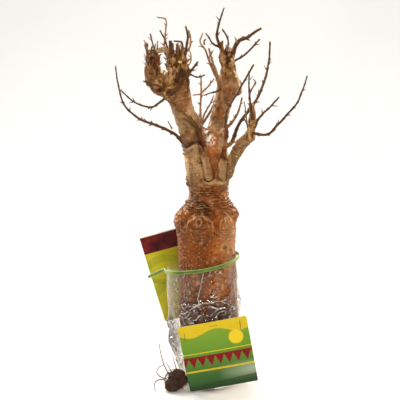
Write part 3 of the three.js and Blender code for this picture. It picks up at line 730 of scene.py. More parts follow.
def stem_line(limb, step):
    """The part of a stem that shows over the trunk, with uneven radii."""
    line, radii = limb_line(limb, step)
    foot = round(len(line) * STEM_FOOT)
    uneven = 1 + 0.16 * noise(line, 5, 81) + 0.1 * noise(line, 2.4, 82)
    return line[foot:], (radii * uneven * np.linspace(1.0, 0.84, len(line)))[foot:]


def bark_space():
    """The trunk, boughs, heads and stems in one space."""
    space = Space(GRID_X, GRID_Y, GRID_Z)
    cut, spots = space.part((-46, -46, -2), (46, 44, 274))
    turn, away = trunk_place(spots)
    side = (away - trunk_radius(turn, spots[..., 2])) * 0.9
    space.field[cut] = np.maximum(side, np.maximum(TRUNK_FOOT - spots[..., 2], spots[..., 2] - TRUNK_TOP))
    for name, limb in BOUGHS.items():
        if name.startswith("bough"):
            space.join(*space.tube(*limb_line(limb, 3), 5), 5)
    for _, twigs in MASSES.values():
        at, leans, away, long, foot, tip = twigs[0]
        if foot > STEM_TUBE:
            start = np.array(at) - heading(leans[0], away) * foot * 0.4
            line = leaning_line(start, leans, away, long + foot * 0.4, 2)
            soft = 2.5 if foot > THICK else 1.2
            space.join(*space.tube(line, np.linspace(foot, tip, len(line)) / 2, soft), soft)
    space.join(*space.ball(*SADDLE, 5), 5)
    for middle, half, soft in HOLLOWS:
        space.carve(*space.ball(middle, half, soft), soft)
    for points, radii, soft in STRAPS:
        space.join(*space.tube(spline(points, 8), stations(radii, 8), soft), soft)
    for points, radii, soft in GROOVES:
        space.carve(*space.tube(spline(points, 12), stations(radii, 12), soft), soft)
    stems = [stem_line(limb, 2) for name, limb in BOUGHS.items() if name.startswith("stem")]
    for line, radii in stems:
        outward = np.array([0, math.copysign(MOAT_OUT, line[0][1]), 0])
        space.carve(*space.tube(line + outward, radii + MOAT_WIDE, 1), 1)
    for line, radii in stems:
        space.join(*space.tube(line, radii, 1), 1)
    return space


# Scars where side shoots were: turn, height, half width, half height and roundness, where 2 is round
EYES = [(-107, 184.6, 3.1, 3.9, 2), (-51, 183.8, 2.8, 5, 1.2), (46, 186, 3.2, 3, 2), (110, 183, 3.4, 2.8, 2),
        (150, 187, 3, 2.6, 2)]
# Slits under the scars: turn, height, half width and half height
SLITS = [(-108, 178.2, 5.4, 0.8), (-51, 176.5, 3.6, 0.6), (48, 174, 5, 0.8), (110, 173, 6, 0.8)]
# Painted shade in the sunk skin above each hood, which lies in the hood's shadow.
DARK_ABOVE = (0.75, 0.1, 0.2, 0.25, 0.1)  # how dark the sunk skin above each hood is
# Single pits in the bark: turn, height and radius
PITS = [(-86, 170, 0.9), (-74, 160, 1.0), (-52, 157, 2.2), (-120, 150, 1.0), (30, 160, 1.4), (95, 152, 1.6),
        (150, 164, 1.2), (-150, 158, 1.1)]
# Round warts on the front of the boughs: x, height and radius
WARTS = [(-7.5, 247, 1.7), (-14, 238, 1.1), (24, 236, 1.4), (30, 252, 1.3), (-12, 285, 1.3), (19, 300, 1.2)]
# Cracks on the front of the boughs: (x, z) points
CRACKS = [
    [(-24, 257), (-19.7, 261.8), (-15, 265), (-10, 266.4), (-6, 264.6), (-3.8, 258)],
    [(18.5, 248), (17.3, 250.2), (15.6, 251.2)],
]
# Torn and weathered places: middle and half sizes
WORN = [((-30, -18, 339), (15, 16, 17)), ((-55, -18, 347), (13, 13, 15)), ((-50, -16, 325), (12, 12, 9)),
        ((-39, -28, 319), (8, 8, 7)), ((21, 12, 346), (13, 13, 21)), ((44, -21, 280), (9, 9, 13))]


def distance_to_line(x, z, points):
    """Distance in the front view from points to a bent line."""
    best = np.full(x.shape, FAR)
    for (ax, az), (bx, bz) in zip(points[:-1], points[1:]):
        dx, dz = bx - ax, bz - az
        share = np.clip(((x - ax) * dx + (z - az) * dz) / (dx * dx + dz * dz), 0, 1)
        np.minimum(best, np.hypot(x - ax - share * dx, z - az - share * dz), out=best)
    return best


def worn_share(spots):
    """How torn and weathered the skin is at each point."""
    share = np.zeros(len(spots))
    for middle, half in WORN:
        off = np.linalg.norm((spots - np.array(middle)) / np.array(half), axis=1)
        share = np.maximum(share, ease(1.15, 0.7, off + 0.25 * noise(spots, 5, 54)))
    return share


# Heights between which rings and pebbles begin and end, and the trunk's bark gives way to the boughs'
RINGS_FROM, RINGS_TO, PEBBLES_FROM, PEBBLES_TO = (188, 198), (217, 225), (168, 188), (206, 220)
BOUGHS_FROM = (222, 232)
RING_STEP, SCAR_STEP = 2.6, 6.4  # distances between rings of the neck and between scars of the boughs


class Relief:
    """Distance that each point of the skin moves out, with its shares of painted shade in furrows and
    hollows, of paler skin and painted highlight on crests, and of painted shade in recesses.
    """

    def __init__(self, count):
        self.out, self.furrow, self.rim, self.shade = np.zeros((4, count))

    def add(self, share, out=0.0, furrow=0.0, rim=0.0, shade=0.0):
        self.out += share * out
        self.furrow += share * furrow
        self.rim += share * rim
        self.shade += share * shade


def left_front(spots):
    """1 on the front of the plant's left side, and 0 elsewhere."""
    return ease(-4, -14, spots[:, 0]) * ease(0, -8, spots[:, 1])


def ring_relief(relief, spots):
    """Broken rings round the neck, with pebbles between them."""
    z = spots[:, 2]
    wander = noise(spots, (14, 14, 9), 3) * 1.9 + noise(spots, (5, 5, 4), 4) * 0.9
    ring = 1 - 2 * np.abs((z + wander) / RING_STEP % 1 - 0.5)
    broken = ease(-0.5, 0.3, noise(spots, (7, 7, 1.8), 5))
    left = left_front(spots)
    ringed = ease(*RINGS_FROM, z) * (1 - ease(*RINGS_TO, z + 5 * left))
    relief.add(ringed, 0.5)
    # Furrows between the rings and between the pebbles get painted shade, and ring crests and pebbles painted
    # highlight.
    relief.add(ease(0.4, 0.9, ring) * broken * ringed, -1.4, 0.55)
    relief.add(ease(0.7, 0.98, 1 - ring) * broken * ringed, 0.2, 0, 0.4)
    pebbles = noise(spots, (2.6, 2.6, 1.9), 21)
    pebbled = ease(*PEBBLES_FROM, z) * (1 - ease(*PEBBLES_TO, z)) * ease(-0.5, 0.2, noise(spots, 12, 20))
    relief.add(pebbled * ease(0.0, 0.6, pebbles), 1.2, 0, 0.22)
    relief.add(pebbled * ease(-0.1, -0.6, pebbles), -0.4, 0.4)


def knot_relief(relief, spots, turn, plain):
    """Sharp brows of the hoods, with a scar and a slit under each."""
    z = spots[:, 2]
    for eye_turn, eye_z, wide, tall, round_by in EYES:
        across, up = off_axis(turn, eye_turn, plain + 4), z - eye_z
        size = (np.abs(across / wide) ** round_by + np.abs(up / tall) ** round_by) ** (1 / round_by)
        size = size + noise(spots, 3, 8) * 0.1
        # Each scar gets a painted highlight on its ring, painted shade in its pit and in the crescent above
        # it, and light and dark lines of painted highlight and shade below it.
        relief.add(bell((size - 1) / 0.2), 0.9, 0, 0.45)
        relief.add(bell(size / 0.6), -1.3, 0.45)
        relief.add(bell((size - 1.5) / 0.22) * ease(0, 2.5, up), -1.1, 0.6)
        for place in (1.5, 1.95):
            relief.add(bell((size - place) / 0.16) * ease(-1, -3, up), 0.6, 0, 0.2)
            relief.add(bell((size - place + 0.22) / 0.14) * ease(-1, -3, up), -0.5, 0.3)
    for hood, dark in zip(HOODS, DARK_ABOVE):
        size = hood_size(turn, z, hood) + noise(spots, 5, 9) * 0.05
        upper = ease(-6, 3, z - hood[1])
        across = off_axis(turn, hood[0], plain)
        # The brow's crest gets painted highlight, the groove above it and the sunk skin above the hood
        # painted shade, and the arcs below ridges of painted highlight with painted shade between.
        relief.add(upper * bell((size - 0.98) / 0.06), 0.35 * hood[4], 0, 0.18 * hood[4])
        relief.add(upper * bell((size - 1.13) / 0.07), -0.35 * hood[4], 0.16 * hood[4])
        above = bell((across - 2) / 10) * ease(1.04, 1.2, size) * (1 - ease(1.6, 2.5, size))
        relief.add(upper * above, 0, 0, 0, dark)
        lower = ease(2, -4, z - hood[1]) * bell(across / 9) * ease(-0.6, 0.2, noise(spots, (5, 5, 3), 10))
        sag = (hood[1] - z) / hood[3] + 0.012 * across ** 2 / hood[3] + noise(spots, 4, 11) * 0.06
        for place in (0.35, 0.6, 0.85, 1.15):
            relief.add(lower * bell((sag - place) / 0.05), 0.5, 0, 0.2)
            relief.add(lower * bell((sag - place - 0.1) / 0.05), -0.6, 0.35)
    for slit_turn, slit_z, half, thick in SLITS:
        across = off_axis(turn, slit_turn, plain + 4)
        rise = z - slit_z + noise(spots, 3, 12) * 0.5 + 0.03 * across ** 2
        # Slits get painted shade with a painted highlight on the lip below, and pits painted shade with a
        # painted highlight round them.
        relief.add(bell(across / half) * bell(rise / thick), -1.7, 0.8)
        relief.add(bell(across / half) * bell((rise + 1.9) / 0.9), 0.8, 0, 0.25)
    for pit_turn, pit_z, radius in PITS:
        size = np.hypot(off_axis(turn, pit_turn, plain), z - pit_z) / radius + noise(spots, 2, 13) * 0.3
        relief.add(bell(size), -1.6, 0.8)
        relief.add(bell((size - 1.6) / 0.4), 0.6, 0, 0.25)


def plain_relief(relief, spots, on_trunk):
    """Warts, pores and swells of the trunk, and the smoother skin of the boughs."""
    relief.add(on_trunk * noise(spots, (10, 10, 14), 24), 0.8)
    relief.add(on_trunk * noise(spots, (4, 4, 5), 25), 0.45)
    # Raised pebbles and knobs get painted highlight, and pores, rings and scars painted shade; random patches
    # of the boughs are made paler and darker through the same shares.
    relief.add(on_trunk * ease(0.25, 0.75, noise(spots, (2.8, 2.8, 2.2), 22)), 0.8, 0, 0.4)
    relief.add(on_trunk * ease(0.45, 0.85, noise(spots, (2.4, 2.4, 2.0), 23)), -0.9, 0.65)
    relief.add(on_trunk * noise(spots, (1.5, 1.5, 1.1), 26), 0.35)
    on_bough = 1 - on_trunk
    relief.add(on_bough * noise(spots, (9, 9, 16), 31), 0.7)
    relief.add(on_bough * noise(spots, (3, 3, 4), 32), 0.5)
    relief.add(on_bough * noise(spots, (1.6, 1.6, 1.2), 35), 0.3)
    relief.add(on_bough * ease(0.3, 0.8, noise(spots, (7, 7, 1.5), 33)), -0.4, 0.22)
    relief.add(on_bough * ease(0.6, 0.85, noise(spots, (2.6, 2.6, 1.8), 34)), 0.7, 0.12, 0.1)
    along = 0.96 * spots[:, 2] + 0.26 * np.abs(spots[:, 0])
    scar = (along + noise(spots, (16, 16, 9), 36) * 2.4) / SCAR_STEP % 1
    scarred = on_bough * ease(-0.1, 0.4, noise(spots, (10, 10, 7), 37))
    relief.add(scarred * bell((scar - 0.5) / 0.07), -0.5, 0.4)
    relief.add(scarred * bell((scar - 0.64) / 0.06), 0.35, 0, 0.3)
    relief.add(on_bough * ease(0.3, 0.7, noise(spots, (5, 5, 7), 38)), 0, 0, 0.22)
    relief.add(on_bough * ease(0.35, 0.75, noise(spots, (4, 4, 6), 39)), 0, 0.25)


def torn_relief(relief, spots):
    """Cracks on the boughs, and torn grain on the heads."""
    x, y, z = spots.T
    front = ease(-4, -9, y) * ease(224, 228, z)
    for points in CRACKS:
        gap = distance_to_line(x, z, points) + noise(spots, 2, 41) * 0.4
        # Cracks get painted shade, warts a painted highlight with painted shade round them, and the torn
        # grain painted shade in its crevices and painted highlight on its fibres.
        relief.add(front * bell(gap / 1.0), -1.0, 0.95)
    for wart_x, wart_z, radius in WARTS:
        size = np.hypot(x - wart_x, z - wart_z) / radius + noise(spots, 2, 42) * 0.2
        relief.add(front * bell(size / 0.8), 0.9)
        relief.add(front * bell((size - 0.5) / 0.4), 0, 0, 0.5)
        relief.add(front * bell((size - 1.4) / 0.3), -0.5, 0.6)
    worn = worn_share(spots)
    twist = noise(spots, (9, 9, 12), 51)
    grain = np.stack([x + 3 * twist, y - 3 * twist, z], axis=1)
    fray = noise(grain, (3.6, 3.6, 12), 52) + 0.6 * noise(grain, (1.8, 1.8, 6), 53)
    relief.add(worn * fray, 1.4)
    relief.add(worn * ease(-0.05, -0.5, fray), -0.5, 0.85)
    relief.add(worn * ease(0.2, 0.6, fray), 0, 0, 0.7)
    relief.add(worn * noise(spots, 5, 55), 0.9)
    relief.add(in_places(spots, PAINTED_GLEAMS) * noise(spots, (1.8, 1.8, 2.2), 72), 0.5)


def bark_relief(spots):
    """The relief of the whole skin."""
    relief = Relief(len(spots))
    z = spots[:, 2]
    turn, _ = trunk_place(spots)
    on_trunk = 1 - ease(*BOUGHS_FROM, z)
    ring_relief(relief, spots)
    knot_relief(relief, spots, turn, np.interp(z, trunk_heights, trunk_radii))
    plain_relief(relief, spots, on_trunk)
    torn_relief(relief, spots)
    return relief


def point_normals(spots, quads):
    """Outward direction at each point of a skin."""
    a, b, c, d = (spots[quads[:, k]] for k in range(4))
    across = np.cross(c - a, d - b)
    total = np.zeros_like(spots)
    for k in range(4):
        np.add.at(total, quads[:, k], across)
    return total / np.maximum(np.linalg.norm(total, axis=1, keepdims=True), 1e-12)


STEM_DARK = {"stem_front_left": (0.36, 0.55), "stem_front_right": (0.3, 0.44)}  # where each stem turns dark


def stem_shade(spots):
    """How dark each front stem's upper part is, how light its foot is with a painted highlight on its left
    edge, and the painted shadow in the seam beside it.
    """
    shade, light, seam_shadow = np.zeros((3, len(spots)))
    for name, turns_dark in STEM_DARK.items():
        line, radii = stem_line(BOUGHS[name], 1.5)
        near = np.flatnonzero(np.all((spots > line.min(axis=0) - 6) & (spots < line.max(axis=0) + 6), axis=1))
        away = np.linalg.norm(spots[near, None] - line[None], axis=-1)
        closest = away.argmin(axis=1)
        gap = away.min(axis=1) - radii[closest]
        on_stem = ease(1.3, 0.5, gap)
        left_edge = ease(-0.2, -0.8, (spots[near, 0] - line[closest, 0]) / radii[closest])
        dark = ease(*turns_dark, closest / len(line))
        shade[near] = np.maximum(shade[near], on_stem * 0.6 * dark)
        # Paler foot, with a painted highlight on the stem's left edge
        light[near] = np.maximum(light[near], on_stem * (1 - dark) * (0.2 + 0.5 * left_edge))
        # Painted shadow in the seam beside the stem
        seam_shadow[near] = np.maximum(seam_shadow[near], bell((gap - 1.3) / 0.6))
    return shade, light, seam_shadow


# Places of the bark, each a middle, half sizes and strength: lighter ones, partly its own paler skin and
# partly painted highlight on edges where the lamps' light falls; rusty ones; ones of painted shade; and
# painted white gleams of light at the top of the fork
PALE_AND_LIT = [
    ((33, 10, 324), (9, 12, 16), 0.2), ((26, -3, 324), (7, 9, 9), 0.42), ((-28, -17, 339), (8, 8, 12), 0.5),
    ((-20, -9, 246), (5, 9, 18), 0.75), ((-12, -20, 246), (9, 8, 16), 0.32),
    ((21, -8, 262), (5, 7, 12), 0.25), ((28, 12, 348), (4, 8, 8), 0.3), ((-46, -15, 357), (9, 6, 4), 0.55),
    ((14, 8, 352), (3, 8, 8), 0.3), ((18, -12, 258), (4, 6, 8), 0.3), ((-25, -14, 290), (8, 10, 16), 0.25),
    ((24, -22, 160), (12, 14, 40), 0.25), ((-16, -14, 298), (6, 11, 26), 0.6),
    ((14, -9, 263), (3.4, 8, 9), 0.6), ((4, -20, 225), (8, 6, 3.4), 0.45),
    ((16, -17, 224), (7, 7, 3.4), 0.45),
]
RUST = [
    ((17, 3, 293), (10, 12, 6), 0.55), ((-26, -14, 307), (11, 12, 9), 0.4), ((24, 6, 318), (7, 8, 5), 0.35),
    ((-15, -16, 275), (8, 9, 6), 0.35), ((3, -16, 217), (16, 12, 5), 0.35),
]
# Places of painted shade
SHADED = [
    ((-59, -20, 351), (8, 9, 9), 0.6), ((7, -15, 245.5), (5.5, 8, 5), 0.2),
    ((20.5, 7, 344), (2.6, 8, 9), 0.6), ((19, 6, 337), (2.4, 6, 6), 0.5), ((8, -15, 240), (9, 8, 20), 0.45),
    ((8, -17, 233), (8, 7, 8), 0.5), ((29, 6, 331), (2, 6, 2.5), 0.6), ((-29, -18, 328), (6, 9, 5), 0.3),
    ((-45, -22, 321), (7, 9, 5), 0.4),
]
# Painted white gleams of light at the top of the fork
PAINTED_GLEAMS = [((4, -9, 267.5), (5.8, 9, 7), 1.0), ((0, -9, 276), (4.5, 8, 3.4), 1.0)]


def in_places(spots, places):
    """How strong the strongest of some soft places is at each point."""
    share = np.zeros(len(spots))
    for middle, half, most in places:
        off = np.linalg.norm((spots - np.array(middle)) / np.array(half), axis=1)
        share = np.maximum(share, most * ease(1.2, 0.5, off))
    return share * np.clip(1 + 0.6 * noise(spots, 3.2, 73), 0, 1.2)


def bark_shares(spots, relief):
    """What the bark's material reads at each point."""
    x, y, z = spots.T
    left = left_front(spots)
    # The boughs' pale bark fades upwards, painted darker towards the top as less bounce light from the floor
    # reaches it.
    pale = ease(212, 232, z + 6 * left + noise(spots, 7, 61) * 5) * (1 - 0.45 * ease(275, 325, z))
    pale = np.maximum(pale, 0.4 * ease(0.1, 0.5, noise(spots, (11, 11, 16), 62)) * ease(150, 120, z))
    in_fork = ease(-23, -20, y) * ease(6, 0, y) * ease(226, 234, z) * ease(279, 272, z)
    fork = bell((x - 6 - (z - 250) * 0.06) / 8) * in_fork
    # The bark's own orange, painted lighter and warmer on the trunk's right side, where the warm light falls.
    side = 0.7 * ease(-4, 12, x + noise(spots, 8, 63) * 4) * ease(80, 120, z)
    side = side * ease(218, 206, z) * ease(6, -8, y)
    cavity = 0.8 * bell((x + 28) / 7) * bell((z - 338) / 12) * ease(-26, -22, y) * ease(-6, -12, y)
    over = z - np.interp(x, *np.array(CRACKS[0], float).T)
    at_lip = ease(-26, -22, x) * ease(-2, -5, x) * ease(0, -8, y)
    # Painted shade on the bough over the crack, and a painted highlight on the lip under it.
    over_lip_shade = 0.35 * ease(-1, 1, over) * ease(12, 2, over) * at_lip
    lip_highlight = 0.7 * bell((over + 2.6) / 1.3) * at_lip
    # Painted shadow on the cut stub of the left head.
    block_shadow = 0.55 * bell((x + 51) / 8) * bell((z - 324) / 8) * ease(-4, -12, y)
    stem_dark, stem_pale_and_highlight, seam_shadow = stem_shade(spots)
    amber = np.maximum(np.maximum(fork, side), np.maximum(cavity, in_places(spots, RUST)))
    amber = np.maximum(amber, 1.5 * stem_dark)
    # Painted shade on the trunk inside the bag.
    in_bag = 0.45 * ease(58, 68, z) * ease(104, 92, z + noise(spots, 8, 64) * 5) * ease(4, -8, y)
    # All painted shade, with the front stems' dark upper parts, their own colour, dealt out through the same
    # share.
    shade = np.clip(relief.shade + stem_dark + over_lip_shade + block_shadow + in_bag + in_places(spots, SHADED), 0, 0.85)
    # Paler skin and painted highlight, with the crests' share left out of the fork's cleft.
    cleft = bell((x - 7.5) / 5) * ease(228, 234, z) * ease(258, 252, z) * ease(0, -8, y)
    rim = relief.rim * (1 - cleft) + stem_pale_and_highlight + in_places(spots, PALE_AND_LIT) + lip_highlight
    # Painted white gleams of light, broken up by noise.
    painted_gleam = in_places(spots, PAINTED_GLEAMS) * ease(-0.4, 0.0, noise(spots, (1.8, 1.8, 2.2), 72))
    # Painted shade in furrows and in the seams beside the stems.
    furrow = np.clip(relief.furrow + 0.7 * seam_shadow, 0, 0.85)
    return {"furrow": furrow, "rim": np.clip(rim, 0, 0.75), "shade": shade, "pale": pale, "amber": amber,
            "worn": worn_share(spots) * 0.9, "painted_gleam": painted_gleam}


def bark_pieces():
    """The skin with its relief, as one piece for the trunk and one for the boughs."""
    spots, quads = bark_space().skin()
    normals = point_normals(spots, quads)
    relief = bark_relief(spots)
    shares = bark_shares(spots, relief)
    moved = spots + normals * relief.out[:, None]
    moved[:, 2] = np.maximum(moved[:, 2], 1.2)
    normals = point_normals(moved, quads)
    low = spots[quads][..., 2].mean(axis=1) < SPLIT
    look = bark_look()
    for name, keep, nodes in (("trunk_bark", low, ["trunk"]), ("bough_bark", ~low, list(BOUGHS))):
        used, faces = np.unique(quads[keep], return_inverse=True)
        piece = mesh_piece(name, moved[used], faces.reshape(-1, 4), [look])
        for share, values in shares.items():
            set_values(piece, share, values[used])
        piece.data.normals_split_custom_set_from_vertices(normals[used].tolist())
        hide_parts(*nodes)


# Twigs, torn fibres and buds


def bristle_twigs(foot_at, count, spread, lean, away, long, random):
    """A sheaf of short straight shoots from one round patch."""
    twigs = []
    for k in range(count):
        turn = math.radians(k * BRISTLE_TURN)
        out = spread * math.sqrt((k + 0.5) / count)
        at = (foot_at[0] + math.cos(turn) * out, foot_at[1] + math.sin(turn) * out, foot_at[2])
        leans = (between(lean, random()), between(lean, random()))
        twigs.append((at, leans, between(away, random()), between(long, random()), BRISTLE_FOOT, BRISTLE_TIP))
    return twigs


def spur_twigs(twig, random):
    """Buds and short side shoots along one twig, on alternate sides."""
    at, leans, away, long, foot, tip = twig
    line = leaning_line(at, leans, away, long, long / 200)
    ahead = np.gradient(line, axis=0)
    count = int(long // SPUR_EVERY)
    spurs = []
    for k in range(count):
        share = between((SPUR_FROM, SPUR_TO), (k + random()) / count)
        spot = round(share * (len(line) - 1))
        sideways = (1 if k % 2 else -1) * between(SPUR_LEAN, random())
        lean = math.degrees(math.atan2(ahead[spot][0], ahead[spot][2])) + sideways
        aside = between((-SPUR_AWAY, SPUR_AWAY), random())
        thick = between((foot, tip), share) * SPUR_FOOT
        spurs.append((line[spot], (lean,), aside, between(SPUR_LONG, random()) + thick, thick, SPUR_TIP))
    return spurs


DARK, MID, TAN, CUT, RED, PALE = range(6)
BUD_SHAPE = [(0, 0.62), (0.45, 0.6), (0.8, 0.4), (1, 0.12)]  # share of a bud's length, and thickness there


def along_noise(run, row, column, size, seed):
    """Smooth random values along a twig, of its own row and column."""
    return noise(np.stack([run, run * 0 + row, run * 0 + column], axis=1), (size, 1, 1), seed)


def twig_tube(pile, twig, random, kind, tip_kind, step=0.9):
    """One twig with a swollen foot, uneven bark, rings where leaves were, and small buds beside them."""
    at, leans, away, long, foot, tip = twig
    line = leaning_line(at, leans, away, long, step)
    run = np.linspace(0, long, len(line))
    radii = np.linspace(foot, tip, len(line)) * 0.49
    radii = radii * (1 + 0.07 * along_noise(run, at[0], at[2], 3, 71))
    radii = radii * (1 + 0.45 * np.exp(-run / max(foot, 1.5)))
    sway = np.stack([along_noise(run, k, at[1], 7, 72) for k in range(3)], axis=1)
    line = line + 0.22 * sway * ease(0, 6, run)[:, None]
    place = 4 + random() * 4
    while place < long - 2:
        radii = radii * (1 + 0.22 * bell((run - place) / 0.9))
        spot = int(np.searchsorted(run, place))
        bud(pile, line, spot, radii[spot], random, kind)
        place += 5 + random() * 6
    pile.tube(line, radii, 8 if foot > 2 else 6, kind, tip_kind, turn=random() * 60)


def bud(pile, line, spot, radius, random, kind):
    """A blunt little bud on one side of a twig."""
    ahead = unit(line[min(spot + 1, len(line) - 1)] - line[max(spot - 1, 0)])
    turn = random() * 2 * math.pi
    aside = unit(np.cross(ahead, (math.cos(turn), math.sin(turn), 0.3)))
    long = radius * (0.9 + random() * 0.8)
    foot = line[spot] + aside * radius * 0.55
    toward = aside * 0.75 + ahead * 0.7
    line = [foot + toward * long * share for share, _ in BUD_SHAPE]
    pile.tube(line, [radius * thick for _, thick in BUD_SHAPE], 5, kind)


# Twigs with a pale cut tip and twigs with tan bark, by their place in their mass
PALE_TIPS = {"twigs_right_top": (5,), "twigs_right_rear": (1,), "twigs_front_right": (2,),
             "twigs_low_right": (6,), "twigs_left_top": (5, 7), "twigs_right_side": (2,)}
TAN_TWIGS = {"twigs_left_top": (5, 7, 9), "twigs_rear": (1, 2, 3), "twigs_right_side": (1, 3),
             "twigs_front_right": (1,)}


def twig_piece():
    """All masses of twigs, with their spurs and bristles."""
    pile = Pile()
    for name, (seed, twigs) in MASSES.items():
        random = seeded(seed)
        sheaf = bristle_twigs(*BRISTLES[name], random) if name in BRISTLES else []
        spurs = [s for twig in twigs if twig[4] < THICK for s in spur_twigs(twig, random)]
        for k, twig in enumerate(twigs):
            if k == 0 and twig[4] > STEM_TUBE:
                continue
            kind = TAN if k in TAN_TWIGS.get(name, ()) else DARK if random() < 0.6 else MID
            twig_tube(pile, twig, random, kind, CUT if k in PALE_TIPS.get(name, ()) else None)
        for twig in spurs:
            twig_tube(pile, twig, random, DARK if random() < 0.5 else MID, None, 0.6)
        for twig in sheaf:
            twig_tube(pile, twig, random, (DARK, MID, TAN)[int(random() * 3)], None)
    piece = pile.piece("twigs", "twigs", TWIG_LOOKS)
    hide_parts(*MASSES)


# Patches of torn wood: middle, half sizes, count, lean range, away range, length range and kinds of fibre
TORN = [
    ((-31, -14, 343), (8.5, 8.5, 4), 46, (-16, 16), (-20, 22), (5, 15), (MID, TAN, PALE)),
    ((-56, -17, 344), (6, 6, 4), 64, (-34, 16), (-24, 24), (5, 14), (DARK, MID, RED, PALE)),
    ((-56, -22, 337), (5.5, 2, 6), 40, (-30, 10), (-16, -2), (6, 14), (RED, RED, TAN, DARK)),
    ((22, 17, 349), (5, 5, 4), 40, (-18, 18), (-24, 24), (4, 11), (DARK, MID, PALE)),
    ((-40, -25, 316), (4, 4, 3), 20, (-80, 10), (-40, 10), (3, 7), (DARK, MID)),
    ((-46, -16, 357.6), (7, 1.4, 0.9), 26, (-80, 30), (-20, 20), (2, 6), (PALE, PALE, TAN)),
    ((-50, -17, 346), (1.6, 4, 7), 26, (10, 60), (-20, 20), (3, 6), (TAN, RED, MID)),
    ((-40, -19, 346), (1.4, 3, 8), 22, (-60, -10), (-20, 20), (2.5, 5), (TAN, MID)),
]
# Flat curled flaps: foot, leans, degrees away, length, half width and kind
FLAPS = [
    ((-37, -16, 354), (-50, -80), 0, 9, 1.0, PALE), ((-42.6, -16, 357.4), (-84, -100), 0, 8, 1.0, PALE),
    ((-47.6, -16, 357.6), (-100, -125), 0, 8, 1.0, PALE), ((-52, -16, 355.5), (-130, -170), 0, 8, 1.6, MID),
    ((-42, -15, 357), (-20, -70), 0, 8, 1.1, PALE), ((-44.5, -15, 357.5), (-40, -95), 4, 8, 1.1, PALE),
    ((-46.5, -15, 357), (-60, -110), 0, 8, 1.8, MID), ((-49, -15, 356.5), (-50, -90), -6, 8, 1.2, PALE),
    ((-51.5, -16, 355), (-30, -80), 4, 8, 1.6, MID), ((-40, -16, 355), (-5, -40), 0, 9, 1.3, PALE),
    ((-29, -24, 348), (96, 110), -8, 5, 1.2, CUT), ((-47, -19, 337), (30, -20), -10, 4, 1.2, CUT),
    ((-45, -19, 336), (-10, 40), -14, 4.6, 1.0, CUT), ((-43.4, -19, 335), (20, 60), -8, 4, 1.0, CUT),
    ((-34, -17, 352), (-6, 4), 0, 14, 1.6, TAN), ((-31, -15, 353), (6, -8), 4, 12, 1.5, MID),
    ((-22, -16, 345), (30, 60), 4, 9, 1.5, TAN), ((-24, -19, 344), (10, 34), -4, 9, 1.4, TAN),
]

# Branches that lie across the left head: points, radii at both ends and kind
CROSSINGS = [
    ([(-41, -25, 315), (-38, -28.4, 317.4), (-33.5, -29, 320.6), (-29.5, -28, 324.2), (-25.5, -25.6, 329),
      (-21.2, -22.4, 335), (-16.6, -18.4, 339.8)], (1.9, 1.35), DARK),
    ([(-40, -26, 316.4), (-36, -28.8, 320), (-31.6, -28.6, 324), (-28, -26, 326)], (0.7, 0.4), TAN),
]


def fibre_piece():
    """Splinters and flaps of torn bark and wood on the heads."""
    pile = Pile()
    random = seeded(211)
    for middle, half, count, leans, aways, longs, kinds in TORN:
        for k in range(count):
            turn = math.radians(k * BRISTLE_TURN)
            out = math.sqrt((k + 0.5) / count)
            place = (math.cos(turn) * out, math.sin(turn) * out, random() * 2 - 1)
            at = np.array(middle, float) + np.array(half) * place
            lean, away = between(leans, random()), between(aways, random())
            bend = (random() - 0.5) * 30
            long = between(longs, random())
            line = leaning_line(at, (lean, lean + bend), away, long, 1.2)
            thick = 0.5 + random() * 0.7
            radii = thick * (1 - 0.75 * np.linspace(0, 1, len(line)) ** 1.5)
            pile.tube(line, radii, 5, kinds[int(random() * len(kinds))], squash=0.45, turn=random() * 180)
    for at, leans, away, long, wide, kind in FLAPS:
        line = leaning_line(at, leans, away, long, 0.8)
        run = np.linspace(0, 1, len(line))
        radii = wide * (0.75 + 0.25 * np.sin(run * math.pi)) * (1 - 0.6 * run ** 4)
        radii = radii * (1 + 0.15 * noise(line, 1.5, 221))
        pile.tube(line, radii, 9, kind, squash=0.3)
    for points, ends, kind in CROSSINGS:
        line = spline(points, 40)
        radii = np.linspace(*ends, len(line)) * (1 + 0.16 * noise(line, 2.4, 223))
        pile.tube(line, radii, 9, kind)
    pile.piece("torn_fibres", "twigs", TWIG_LOOKS)


# Bag, band, cards and root

bag_heights, bag_radii = smooth_pairs(BAG_PROFILE)
corner_heights, corner_outs = smooth_pairs(BAG_CORNER)


def bag_points(turn, z, out=0):
    """Points on the bag's outer face at turns in degrees and heights, moved out by a distance."""
    pulled = np.interp(z, corner_heights, corner_outs) * bell(off_turn(turn, CORNER_TURN) / CORNER_WIDE)
    radius = np.interp(z, bag_heights, bag_radii) + pulled + out
    angle = np.radians(turn)
    return np.stack([np.cos(angle) * radius, np.sin(angle) * radius * BAG_DEPTH, z + angle * 0], axis=-1)


def rim_height(turn):
    """Height of the bag's slanting rim at a turn."""
    return RIM_AT_AXIS + RIM_RISE * bag_points(turn, np.full(np.shape(turn), RIM_AT_AXIS))[..., 0]


